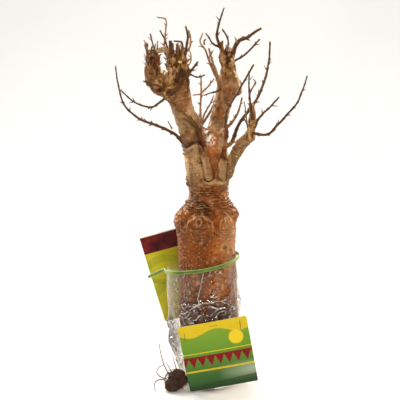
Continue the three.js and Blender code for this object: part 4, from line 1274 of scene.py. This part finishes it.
# Main folds of the film: (turn, height) points, rise, half width and how whitish the crease is, as
# stress-whitened film and painted glint
FOLDS = [
    ([(-97, 131), (-107, 103), (-103, 98)], 1.5, 4, 1),
    ([(-103, 98), (-82, 100), (-54, 102)], 1.5, 4, 1),
    ([(-107, 97), (-129, 86)], 1.3, 4, 1),
    ([(-129, 126), (-133, 104), (-130, 87)], 1.3, 5, 0.3),
    ([(-150, 132), (-146, 108), (-152, 80)], 1.2, 5, 0.3),
    ([(-48, 128), (-44, 110), (-50, 92)], 1.2, 4, 0.6),
    ([(-36, 118), (-33, 104), (-38, 90)], 1.3, 4, 0.6),
    ([(-25, 130), (-20, 100), (-30, 70)], 1.5, 6, 0.6),
    ([(20, 134), (30, 96), (24, 50)], 1.5, 6, 0.3),
    ([(70, 128), (60, 90), (72, 40)], 1.4, 6, 0.3),
    ([(128, 124), (136, 80), (126, 30)], 1.5, 6, 0.3),
    ([(-180, 128), (-180, 100), (-181, 78)], 0.6, 4, 0.9),
]
FILM_REACH = 34  # radius at which distances round the film are counted
FILM_COLUMNS, FILM_ROWS, FILM_INSET, FILM_FLOOR, FOLD_MOST = 380, 228, 1.0, 0.6, 2.4
CRINKLED = (72, 98)  # heights between which the film is crushed into small folds
# Short folds: seed, count, turns, heights, slopes in degrees, lengths, rise, half width and how whitish, as
# stress-whitened film and painted glint
SHORT_FOLDS = [
    (331, 22, (-146, -40), (72, 98), (-40, 60), (5, 19), 0.9, 2.2, 1.0),
    (337, 18, (-180, -142), (16, 72), (30, 130), (5, 14), 1.0, 2.4, 1.0),
    (347, 12, (-96, -46), (104, 132), (-60, 80), (3, 8), 0.7, 2.0, 0.6),
    (349, 9, (-176, -120), (84, 128), (20, 120), (2, 5), 0.6, 1.8, 0.9),
    (353, 10, (-44, -6), (70, 126), (50, 120), (4, 12), 0.9, 2.4, 0.8),
    (359, 30, (0, 180), (20, 124), (30, 150), (4, 14), 0.9, 2.4, 0.7),
]


def short_folds():
    """Short bent folds dealt out over the film, in the form of the main ones."""
    folds = []
    for seed, count, turns, heights, slopes, lengths, rise, half, sheen in SHORT_FOLDS:
        random = seeded(seed)
        for _ in range(count):
            turn, height = between(turns, random()), between(heights, random())
            slope, long = math.radians(between(slopes, random())), between(lengths, random())
            points = [(turn, height)]
            curl = between((-0.7, 0.7), random())
            for bend in (-curl, 0, curl):
                turn += math.degrees(math.cos(slope + bend) * long / 3 / FILM_REACH)
                height += math.sin(slope + bend) * long / 3
                points.append((turn, height))
            folds.append((points, rise, half, sheen * (0.3 + 0.7 * random())))
    return folds


def crumple(around, up, seed, count, lengths):
    """Facets of crushed film at places round and up the bag, in millimetres."""
    random = seeded(seed)
    flat = np.stack([around, up, around * 0], axis=-1)
    total = np.zeros(around.shape)
    for k in range(count):
        length = between(lengths, random() ** 1.6)
        angle = math.pi * random()
        run = (around * math.cos(angle) + up * math.sin(angle)) / length + random()
        run = run + 0.15 * noise(flat, length * 0.9, seed + 3 + k)
        wave = np.abs(run % 2 - 1) * 2 - 1
        there = ease(-0.1, 0.3, noise(flat, (length * 1.4, length * 1.4, 1), seed + 23 + k))
        total += wave * there * length * 0.03
    return total


# Whitish places of the film, partly milky doubled film and partly painted glare of reflected light: turn,
# height, half width in degrees, half height and how whitish
HAZE_AND_GLARE = [(-172, 114, 26, 34, 0.52), (-168, 88, 20, 22, 0.42), (-143, 122, 14, 26, 0.15),
        (-75, 84, 60, 12, 0.06), (-24, 104, 18, 40, 0.55), (178, 108, 25, 36, 0.3)]
# Places of the film painted dim, as painted shade and dark reflections seen through and in it, in the same
# way
DIM_SHADE = [(-168, 50, 34, 28, 1.0), (-165, 15, 36, 22, 0.9), (-165, 110, 24, 40, 0.12), (-10, 92, 24, 40, 0.25),
       (-80, 80, 50, 14, 0.5), (176, 50, 30, 30, 0.6)]
# Zones of the film, in the same way: its crushed lower left, its front pane and its smooth left pane
LOW_LEFT, FRONT_PANE, LEFT_PANE = (-165, 48, 24, 26, 1.0), (-72, 116, 26, 15, 1.0), (-168, 102, 22, 28, 0.7)
FILM_CLEAR = 0.9  # least distance of the film from the bark


def film_bend(fold):
    """How sharply the film bends at each point of its net: over 0 in a valley, under 0 on a ridge."""
    bend = np.roll(fold, 1, axis=1) + np.roll(fold, -1, axis=1) - 2 * fold
    bend[1:-1] += fold[2:] + fold[:-2] - 2 * fold[1:-1]
    return bend


def patches(places, turn, z):
    """How strong the strongest of some soft patches is at each turn and height."""
    share = np.zeros(turn.shape)
    for middle_turn, middle_z, wide, tall, most in places:
        off = off_turn(turn, middle_turn) / wide
        share = np.maximum(share, most * bell(off) * bell((z - middle_z) / tall))
    return share


def film_fold(turn, share, z, around, broken):
    """How far each point of the net is folded out, and its shares of whitened crease with painted glint and
    of painted shadow beside a crease.
    """
    low_left, pane, left_pane = (patches([zone], turn, z) for zone in (LOW_LEFT, FRONT_PANE, LEFT_PANE))
    crushed = ease(CRINKLED[0] - 12, CRINKLED[0], z) * ease(CRINKLED[1] + 6, CRINKLED[1], z)
    corner = bell(off_turn(turn, CORNER_TURN) / 14)
    fold = crumple(around, z, 307, 22, (6, 32)) * (0.55 + 1.0 * crushed + 0.8 * low_left + 0.5 * pane)
    fold += crumple(around, z, 407, 16, (4, 13)) * (1.4 * crushed + 1.4 * low_left + 1.1 * pane)
    fold *= 1 - np.maximum(0.6 * corner, left_pane)
    crease_glint, beside = np.zeros((2, *turn.shape))
    for points, rise, half, sheen in FOLDS + short_folds():
        line = [(math.radians(t + 90) * FILM_REACH, height) for t, height in points]
        away = distance_to_line(around, z, line)
        fold += rise * np.maximum(1 - away / half, 0)
        crease_glint = np.maximum(crease_glint, bell(away / 0.36) * broken * sheen)
        beside = np.maximum(beside, bell((away - 1.4) / 0.5) * broken * sheen)
    back = math.pi * FILM_REACH
    fold = fold * ease(0, 0.06, share) * ease(back, back - 14, np.abs(around))
    return np.clip(fold, -FOLD_MOST, FOLD_MOST), crease_glint, beside


def clear_of_bark(spots):
    """Moves points of the film out where they come too near to the trunk."""
    turn, away = trunk_place(spots)
    short = np.maximum(trunk_radius(turn, spots[..., 2]) + FILM_CLEAR - away, 0) / away
    middle_x = np.interp(spots[..., 2], trunk_line[:, 2], trunk_line[:, 0])
    spots[..., 0] += (spots[..., 0] - middle_x) * short
    spots[..., 1] += spots[..., 1] * short


def film_piece():
    """A bag of thin film with flat panes between its folds."""
    turns = np.linspace(-270, 90, FILM_COLUMNS, endpoint=False)
    turn, share = np.meshgrid(turns, np.linspace(0, 1, FILM_ROWS))
    z = rim_height(turn) * share
    around = np.radians(turn + 90) * FILM_REACH
    net = np.stack([around, around * 0, z], axis=-1)
    fold, crease_glint, beside = film_fold(turn, share, z, around, ease(-0.4, 0.3, noise(net, 3.6, 354)))
    ruffle = 0.7 * np.sin(np.radians(turn) * 23 + noise(np.stack([around, around, z], -1), 9, 351) * 2.5)
    spots = bag_points(turn, z, -FILM_INSET + fold + ruffle * ease(0.94, 1, share))
    spots[..., 2] += noise(net, 12, 352) * 0.5 * ease(0.96, 1, share)
    clear_of_bark(spots)
    bend = film_bend(fold) * ease(-0.7, 0.4, noise(net, 7, 353))
    # Ridges are whitened as painted glint, and valleys and the film beside creases get painted shade,
    # strongest in the crushed lower left.
    ridge_glint = np.maximum(np.clip((-bend - 0.08) / 0.3, 0, 0.9), crease_glint)
    sunk = np.clip(bend / 0.22 * (1 + 2.5 * patches([LOW_LEFT], turn, z)), 0, 1)
    valley_shade = np.maximum(sunk, 0.6 * beside)
    middle = turn.size
    faces = list(grid_faces(FILM_ROWS, FILM_COLUMNS, True))
    faces += [(middle, (k + 1) % FILM_COLUMNS, k) for k in range(FILM_COLUMNS)]
    spots = np.vstack([spots.reshape(-1, 3), [[0, 0, FILM_FLOOR]]])
    piece = mesh_piece("bag_film", spots, faces, [film_look()])
    shares = {"ridge_glint": ridge_glint, "valley_shade": valley_shade, "haze_and_glare": patches(HAZE_AND_GLARE, turn, z), "dim_shade": patches(DIM_SHADE, turn, z)}
    for name, values in shares.items():
        set_values(piece, name, np.append(values.ravel(), 0))
    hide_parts("bag")


def card_point(card, right, up):
    """A point on a card's plane, from its distances right of and over the card's middle."""
    turn = math.radians(card["turn"])
    return np.array([card["x"] + right * math.cos(turn) - up * math.sin(turn), 0,
                     card["z"] + right * math.sin(turn) + up * math.cos(turn)])


def band_line(count):
    """The band's middle line: round the front of the bag, then behind the rear card."""
    out = GAP + BAND_THICK / 2 + BAND_SLACK
    turns = np.arange(-184, 41, 8.0)
    front = list(bag_points(turns, rim_height(turns) - BAND_BELOW_RIM, out))
    back_face = float(max(bag_points(np.full(8, 90.0), np.array([z for _, z in BAG_PROFILE], float))[:, 1]))
    behind = back_face + GAP + CARD_THICK + out
    edge = card_point(REAR_CARD, -REAR_CARD["wide"] / 2, REAR_CARD["tall"] * 0.04)
    corner = np.array([edge[0] - out - BAND_THICK, back_face + GAP, edge[2]])
    back = [np.array([between((front[-1][0], corner[0]), s), behind, between((front[-1][2], corner[2]), s)])
            for s in (0.15, 0.4, 0.7, 0.96)]
    return spline([*front, *back, corner], count, closed=True)


BAND_STATIONS, BAND_SIDES = 360, 14


def band_piece():
    """A flat rubber band with rounded edges that waves and thins a little as it is stretched."""
    line = band_line(BAND_STATIONS)
    ahead = np.roll(line, -1, axis=0) - np.roll(line, 1, axis=0)
    ahead /= np.linalg.norm(ahead, axis=1, keepdims=True)
    out = np.cross(ahead, (0, 0, 1))
    out /= np.linalg.norm(out, axis=1, keepdims=True)
    rise = np.cross(out, ahead)
    wide = BAND_WIDE / 2 * (1 + 0.1 * noise(line, 18, 401))
    thick = BAND_THICK / 2 * (1 + 0.1 * noise(line, 11, 402))
    angles = np.arange(BAND_SIDES) * 2 * math.pi / BAND_SIDES
    across = np.sign(np.cos(angles)) * np.abs(np.cos(angles)) ** 0.6
    tall = np.sign(np.sin(angles)) * np.abs(np.sin(angles)) ** 0.6
    spots = (line[:, None] + out[:, None] * (thick[:, None] * across)[..., None]
             + rise[:, None] * (wide[:, None] * tall)[..., None]).reshape(-1, 3)
    faces = grid_faces(BAND_STATIONS + 1, BAND_SIDES, True) % len(spots)
    piece = mesh_piece("rubber_band", spots, faces, [rubber_look()])
    # Painted highlight on the band's edges and on its two ends, where light falls on them.
    ends = ease(-30, -42, line[:, 0]) * ease(0, -12, line[:, 1]) + 0.7 * ease(14, 30, line[:, 0])
    set_values(piece, "edge", np.clip(np.abs(tall) ** 3 + ends[:, None], 0, 1))
    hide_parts("band")


# Lines on the front card: height and half thickness
LINES = [(0.285, 0.006), (0.3, 0.003), (0.56, 0.005)]
# Waves on the rear card: height, swing, half width and strength
WAVES = [(0.66, 7.0, 0.05, 0.4), (0.5, -9.0, 0.035, 0.5), (0.36, 6.0, 0.06, 0.35)]


def card_look(name, print_colour):
    """A printed face, whose colour a function draws from places across and up the card."""
    look = Look(name, {"Roughness": 0.28, "Specular IOR Level": 0.14})
    uv = look.node("TexCoord", {}).outputs["UV"]
    parts = look.node("SeparateXYZ", {"Vector": uv})
    colour = print_colour(look, parts.outputs["X"], parts.outputs["Y"])
    fibre = look.noise(0.8, 4, 0.6)
    look.set("Base Color", look.mix(look.span(fibre, 0.35, 0.65, 0.0, 0.12), colour, "2c2a10", "MULTIPLY"))
    look.bump((look.noise(9, 2), 0.25), (fibre, 0.03))
    return look.material


def disc(look, u, v, at, size, soft=0.006):
    """1 inside a circle on the card, and 0 outside."""
    across = look.math("SUBTRACT", u, at[0])
    up = look.math("SUBTRACT", v, at[1])
    squares = look.math("ADD", look.times(across, across), look.times(up, up))
    return look.span(look.math("SQRT", squares), size + soft, size - soft)


def front_print(look, u, v):
    """Green that darkens downwards, a yellow sun, a row of dark-red tents, thin yellow lines, and a painted
    glare of reflected light low on the right.
    """
    colour = look.ramp(v, [(0.0, "2b4a26"), (0.22, "3a632b"), (0.55, "5f8a26"), (1.0, "7f9f2e")])
    # Painted glare of reflected light, low on the right of the card
    painted_glare = look.times(look.span(u, 0.45, 0.95), look.span(look.apart(v, 0.2), 0.16, 0.02))
    colour = look.mix(look.times(painted_glare, 0.5), colour, "c9d2bd")
    slope = look.math("SUBTRACT", v, look.times(u, 0.06))
    colour = look.mix(look.span(slope, 0.075, 0.065, 0.0, 0.7), colour, "25401f")
    hills = look.math("ADD", v, look.times(look.math("SINE", look.times(u, 9.0)), 0.045))
    colour = look.mix(look.span(hills, 0.845, 0.855, 0.0, 0.9), colour, "d9b81c")
    colour = look.mix(disc(look, u, v, (0.8, 0.72), 0.105), colour, "e2c422")
    zig = look.math("PINGPONG", u, 0.065)
    row = look.math("SUBTRACT", v, look.times(zig, 2.2))
    tents = look.times(look.span(row, 0.34, 0.352), look.span(v, 0.52, 0.508))
    colour = look.mix(tents, colour, "7a0a10")
    for height, half in LINES:
        colour = look.mix(look.span(look.apart(v, height), half + 0.002, half), colour, "d8b81e")
    return colour


def rear_print(look, u, v):
    """Yellow with soft green waves and a maroon head strip."""
    ground = look.ramp(look.noise(26, 3), [(0.3, "a89a16"), (0.6, "bdb222"), (0.8, "c9c43c")])
    for height, swing, half, share in WAVES:
        wave = look.times(look.math("SINE", look.times(u, swing)), 0.05)
        off = look.apart(look.math("SUBTRACT", v, wave), height)
        ground = look.mix(look.span(off, half, half - 0.012, 0.0, share), ground, "76901a")
    strip = look.span(v, 0.795, 0.8)
    maroon = look.ramp(look.noise(14, 4), [(0.35, "2f060a"), (0.6, "5c1016"), (0.8, "86201a")])
    colour = look.mix(strip, ground, maroon)
    return look.mix(look.span(v, 0.985, 0.99), colour, "f1ecdc")


def board_look(name):
    look = Look(name, {"Roughness": 0.75, "Specular IOR Level": 0.2})
    pulp = look.noise(0.9, 5, 0.65)
    look.set("Base Color", look.ramp(pulp, [(0.3, "857d6b"), (0.55, "9d9583"), (0.75, "b3ab99")]))
    look.bump((pulp, 0.06))
    return look.material


CARD_NET, CARD_ROUND = 60, 1.6  # points along each side of a card's face, and radius of its corners


def card_piece(name, card, middle_y, print_colour, bow, curl):
    """A thin printed card with rounded corners, bowed across and curled at its free corners."""
    columns = rows = CARD_NET
    right, up = card["wide"] / 2, card["tall"] / 2
    faces_of = grid_faces(rows, columns, False)
    u, v = np.meshgrid(np.linspace(-1, 1, columns), np.linspace(-1, 1, rows))
    corner = [np.maximum(np.abs(place) * half - half + CARD_ROUND, 0)
              for place, half in ((u, right), (v, up))]
    inset = np.maximum(np.hypot(*corner) - CARD_ROUND, 0)
    across = u * right - np.sign(u) * inset * 0.7
    rise = v * up - np.sign(v) * inset * 0.7
    lift = bow(u, v) + curl * (np.abs(u) ** 4 * np.abs(v) ** 4)
    turn = math.radians(card["turn"])
    base = np.stack([card["x"] + across * math.cos(turn) - rise * math.sin(turn), middle_y + lift,
                     card["z"] + across * math.sin(turn) + rise * math.cos(turn)], axis=-1).reshape(-1, 3)
    shift = np.array([0, CARD_THICK / 2, 0])
    spots = np.vstack([base - shift, base + shift])
    count = len(base)
    faces = list(faces_of) + list(faces_of[:, ::-1] + count)
    border = ([*range(columns)] + [r * columns + columns - 1 for r in range(1, rows)]
              + [(rows - 1) * columns + c for c in range(columns - 2, -1, -1)]
              + [r * columns for r in range(rows - 2, 0, -1)])
    kinds = [0] * len(faces_of) + [1] * len(faces_of)
    for a, b in zip(border, border[1:] + border[:1]):
        faces.append((b, a, a + count, b + count))
        kinds.append(1)
    looks = [card_look(name + "_print", print_colour), board_look(name + "_board")]
    piece = mesh_piece(name, spots, faces, looks, kinds)
    layer = piece.data.uv_layers.new(name="print")
    flat = np.stack([(u.ravel() + 1) / 2, (v.ravel() + 1) / 2], axis=1)
    corners = np.zeros(len(piece.data.loops), np.int32)
    piece.data.loops.foreach_get("vertex_index", corners)
    layer.data.foreach_set("uv", flat[corners % count].astype(np.float32).ravel())
    return piece


# Staples: distances right of and over the card's middle, and tilt
STAPLES = [(0.5, 31.5, 2), (28.5, 27.5, 88), (-31, 24.5, 86), (-2, -6, 3)]
# One half of a staple's wire, from its middle out: distance along it and distance behind the card's face
HALF_STAPLE = [(2, -0.2), (4.0, -0.14), (4.4, 0.1), (4.5, 0.55)]
STAPLE_WIRE = 0.3


def staple_piece(front_y):
    """Four thin wire staples through the front card."""
    pile = Pile()
    shape = [(-s, d) for s, d in HALF_STAPLE[::-1]] + HALF_STAPLE
    turn = math.radians(FRONT_CARD["turn"])
    for right, up, tilt in STAPLES:
        along = np.array([math.cos(turn + math.radians(tilt)), 0, math.sin(turn + math.radians(tilt))])
        middle = card_point(FRONT_CARD, right, up) + np.array([0, front_y, 0])
        line = spline([middle + along * s + np.array([0, d, 0]) for s, d in shape], 40)
        pile.tube(line, np.full(len(line), STAPLE_WIRE), 8, 0)
    pile.piece("staples", "card_green", [metal_look()])


# Lobes of the root's end: middle and half sizes
ROOT_LOBES = [((-31.6, -24.4, 12.6), (10.6, 10, 10)), ((-39.6, -28, 7.2), (5.6, 6.6, 6.6)),
              ((-34, -30, 9), (7, 5, 7.6))]


ROOT_STEP = 0.55  # step of the grid that the root's skin is drawn on


def root_piece():
    """A lobed end of root with folds, cut off flat under it."""
    space = Space(*(np.arange(low, high, ROOT_STEP) for low, high in ((-48, -18), (-38, -11), (-1, 26))))
    for middle, half in ROOT_LOBES:
        space.join(*space.ball(middle, half, 1), 1)
    x, y, z = np.meshgrid(*space.axes, indexing="ij")
    bag = np.interp(z, bag_heights, bag_radii) + GAP - np.hypot(x, y / BAG_DEPTH)
    space.field = np.maximum(space.field, np.maximum(GAP - z, bag))
    spots, quads = space.skin()
    bent = spots + np.stack([noise(spots, 9, seed) for seed in (511, 512, 513)], axis=1) * 2.5
    folds = noise(bent, (7, 7, 2.2), 514)
    out = 0.8 * noise(spots, 5, 515) + 0.9 * folds + 0.35 * noise(bent, (1.4, 1.4, 0.9), 516)
    out = out * ease(GAP, 2, spots[:, 2])
    moved = spots + point_normals(spots, quads) * out[:, None]
    moved[:, 2] = np.maximum(moved[:, 2], GAP)
    piece = mesh_piece("root_end", moved, quads, [ROOT_LOOK])
    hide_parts("root_tip")


# Hair roots that stand free: start, leans, degrees away and length
LOOSE_HAIRS = [((-39, -31, 18), (-30, -20, -14, -8), 5, 38), ((-43, -28, 14), (-70, -40, 20, 60), -4, 26),
               ((-44, -27, 12), (-80, -120, -175, 170), -4, 24), ((-36, -33, 20), (-24, -30), 0, 16),
               ((-30, -34, 21), (-20, -16, -10), 2, 24)]


LYING_HAIRS = 150


def hair_piece():
    """Fine hair roots: loose ones in the air beside the root, and many that lie on it."""
    pile = Pile()
    random = seeded(523)
    middle, half = np.array(ROOT_TIP["at"], float), np.array(ROOT_TIP["half"], float)
    for k in range(LYING_HAIRS):
        turn, rise = random() * 2 * math.pi, (random() - 0.35) * 2.2
        way = np.array([math.cos(turn) * math.cos(rise), math.sin(turn) * math.cos(rise), math.sin(rise)])
        other = unit(np.cross(way, (random() - 0.5, random() - 0.5, random() - 0.5)))
        reach = 0.35 + 0.5 * random()
        points = []
        for s in (0, 0.33, 0.66, 1):
            toward = unit(way + other * reach * s)
            points.append(middle + toward * half * (0.99 + 0.05 * s + 0.04 * random()))
        line = spline(points, 10)
        line[:, 2] = np.maximum(line[:, 2], 0.6)
        pile.tube(line, np.linspace(0.2, 0.08, len(line)), 4, k % 2)
    for start, leans, away, long in LOOSE_HAIRS:
        line = leaning_line(start, leans, away, long, 1.2)
        line[:, 2] = np.maximum(line[:, 2], 0.5)
        pile.tube(line, np.linspace(0.72, 0.42, len(line)), 5, 0)
    pile.piece("hair_roots", "root", [twig_look("hair_root", "2c180d", "5d3f2a", 0.6), ROOT_LOOK])


# Stage: floor, lights and camera, in metres

FLOOR_SIDE, WALL_FOOT, WALL_BEND, WALL_TOP = 6.0, 0.9, 0.5, 1.6
MIDDLE = (0, 0, 0.25)
# Lights: name, place, target, size, watts, colour and spread in degrees
LIGHTS = [
    ("front", (0.55, -1.7, 0.95), MIDDLE, (0.7, 0.7), 4.7, (1, 0.92, 0.79), 180),
    ("ceiling", (0, 0.01, 3.0), (0, 0, 0), (12.0, 12.0), 248, (1, 0.97, 0.92), 50),
    ("top", (0, -0.1, 1.6), (0, 0, 0), (1.0, 1.0), 5, (1, 0.96, 0.89), 180),
    ("rim_left", (-0.62, 0.55, 0.5), (0, 0, 0.27), (0.25, 0.6), 1.7, (1, 0.92, 0.78), 52),
    ("rim_right", (0.6, 0.6, 0.45), (0, 0, 0.27), (0.25, 0.6), 1.5, (1, 0.84, 0.6), 52),
    ("top_left", (-0.4, 0.3, 0.95), (-0.02, 0, 0.2), (0.4, 0.3), 0.3, (1, 0.97, 0.9), 32),
    ("backdrop", (0, 0.5, 1.5), (0, 1.4, 0.6), (1.6, 0.4), 22, (1, 1, 1), 180),
    ("glint_right", (0.4, -1.0, 0.75), MIDDLE, (0.05, 0.25), 3.4, (1, 0.95, 0.86), 180),
    ("glint_left", (-0.45, -0.95, 0.55), MIDDLE, (0.04, 0.25), 1.6, (1, 0.96, 0.9), 180),
    ("glint_top", (0.05, -0.95, 1.0), MIDDLE, (0.3, 0.05), 3.6, (1, 0.96, 0.9), 180),
]
WORLD_LIGHT, WORLD_SEEN = 0.05, 0.9  # strength as light, and as the camera sees it
VIEW_TARGET, VIEW_REACH, VIEW_DOWN, VIEW_WIDE, SENSOR = (-0.0075, 0, 0.202), 1.1, 12, 0.42, 36


def area_light(name, at, target, size, watts, colour, spread):
    data = bpy.data.lights.new(name, "AREA")
    data.spread = math.radians(spread)
    data.shape = "RECTANGLE"
    data.size, data.size_y = size
    data.energy = watts
    data.color = colour
    light = bpy.data.objects.new(name, data)
    bpy.context.scene.collection.objects.link(light)
    aim(light, at, target)


def aim(thing, at, target):
    """Places a light or camera so that it looks at a target."""
    way = np.array(target, float) - np.array(at, float)
    flat = math.hypot(way[0], way[1])
    thing.location = at
    thing.rotation_euler = (math.pi / 2 + math.atan2(way[2], flat), 0, math.atan2(-way[0], way[1]))


def paper_floor():
    """Pale paper that bends up into a wall behind the plant."""
    curve = [(WALL_FOOT + WALL_BEND * math.sin(a), WALL_BEND - WALL_BEND * math.cos(a))
             for a in np.linspace(0, math.pi / 2, 16)]
    line = [(-FLOOR_SIDE, 0), *curve, (WALL_FOOT + WALL_BEND, WALL_TOP)]
    spots = [(x, y, z) for y, z in line for x in (-FLOOR_SIDE, FLOOR_SIDE)]
    faces = [(2 * k, 2 * k + 1, 2 * k + 3, 2 * k + 2) for k in range(len(line) - 1)]
    mesh = bpy.data.meshes.new("floor")
    mesh.from_pydata(spots, [], faces)
    mesh.polygons.foreach_set("use_smooth", np.full(len(faces), True))
    look = Look("paper", {"Roughness": 0.8})
    look.set("Base Color", look.ramp(look.noise(400, 2), [(0.3, "d2d2d0"), (0.7, "d8d8d6")]))
    mesh.materials.append(look.material)
    floor = bpy.data.objects.new("floor", mesh)
    bpy.context.scene.collection.objects.link(floor)


def studio_world():
    """A faint light from all round, which the camera sees as a pale ground."""
    world = bpy.data.worlds.new("studio")
    world.use_nodes = True
    sky = world.node_tree.nodes["Background"]
    sky.inputs["Color"].default_value = (1, 1, 1, 1)
    seen = world.node_tree.nodes.new("ShaderNodeLightPath").outputs["Is Camera Ray"]
    strength = world.node_tree.nodes.new("ShaderNodeMapRange")
    strength.inputs["To Min"].default_value = WORLD_LIGHT
    strength.inputs["To Max"].default_value = WORLD_SEEN
    world.node_tree.links.new(seen, strength.inputs["Value"])
    world.node_tree.links.new(strength.outputs["Result"], sky.inputs["Strength"])
    bpy.context.scene.world = world


def photo_camera():
    """A camera that looks down on the plant as the photograph does."""
    camera = bpy.data.objects.new("camera", bpy.data.cameras.new("camera"))
    bpy.context.scene.collection.objects.link(camera)
    target, down = np.array(VIEW_TARGET), math.radians(VIEW_DOWN)
    back, over = -VIEW_REACH * math.cos(down), VIEW_REACH * math.sin(down)
    aim(camera, tuple(target + (0, back, over)), tuple(target))
    camera.data.sensor_width = SENSOR
    camera.data.lens = SENSOR * VIEW_REACH / VIEW_WIDE
    bpy.context.scene.camera = camera


def stage():
    bpy.context.scene.view_settings.view_transform = "Standard"
    paper_floor()
    studio_world()
    for light in LIGHTS:
        area_light(*light)
    photo_camera()


# Kinds of twig and fibre, in the order of their numbers: name, dark and light colour, and roughness
TWIG_KINDS = [("dark_twig", "321806", "67401b", 0.42), ("brown_twig", "4a290f", "855727", 0.42),
              ("tan_twig", "6b4326", "ad8358", 0.5), ("cut_wood", "d0b36a", "f4e8b8", 0.6),
              ("red_fibre", "481a0e", "93503a", 0.5), ("pale_bark", "8a6444", "d6b48c", 0.6)]
TWIG_LOOKS = [twig_look(*kind) for kind in TWIG_KINDS]
ROOT_LOOK = root_look()
bark_pieces()
twig_piece()
fibre_piece()
film_piece()
band_piece()
front_y, rear_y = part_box("card_front")[0][1] / MM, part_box("card_rear")[0][1] / MM
front = card_piece("front_card", FRONT_CARD, front_y + CARD_THICK / 2, front_print,
                   lambda u, v: 0.9 * (u ** 2 - 0.4) + 0.5 * v * u, -0.6)
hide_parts("card_front")
rear = card_piece("rear_card", REAR_CARD, rear_y + CARD_THICK / 2, rear_print,
                  lambda u, v: 0.8 * (u ** 2 - 0.4), 0.5)
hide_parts("card_rear")
staple_piece(front_y)
root_piece()
hair_piece()
stage()
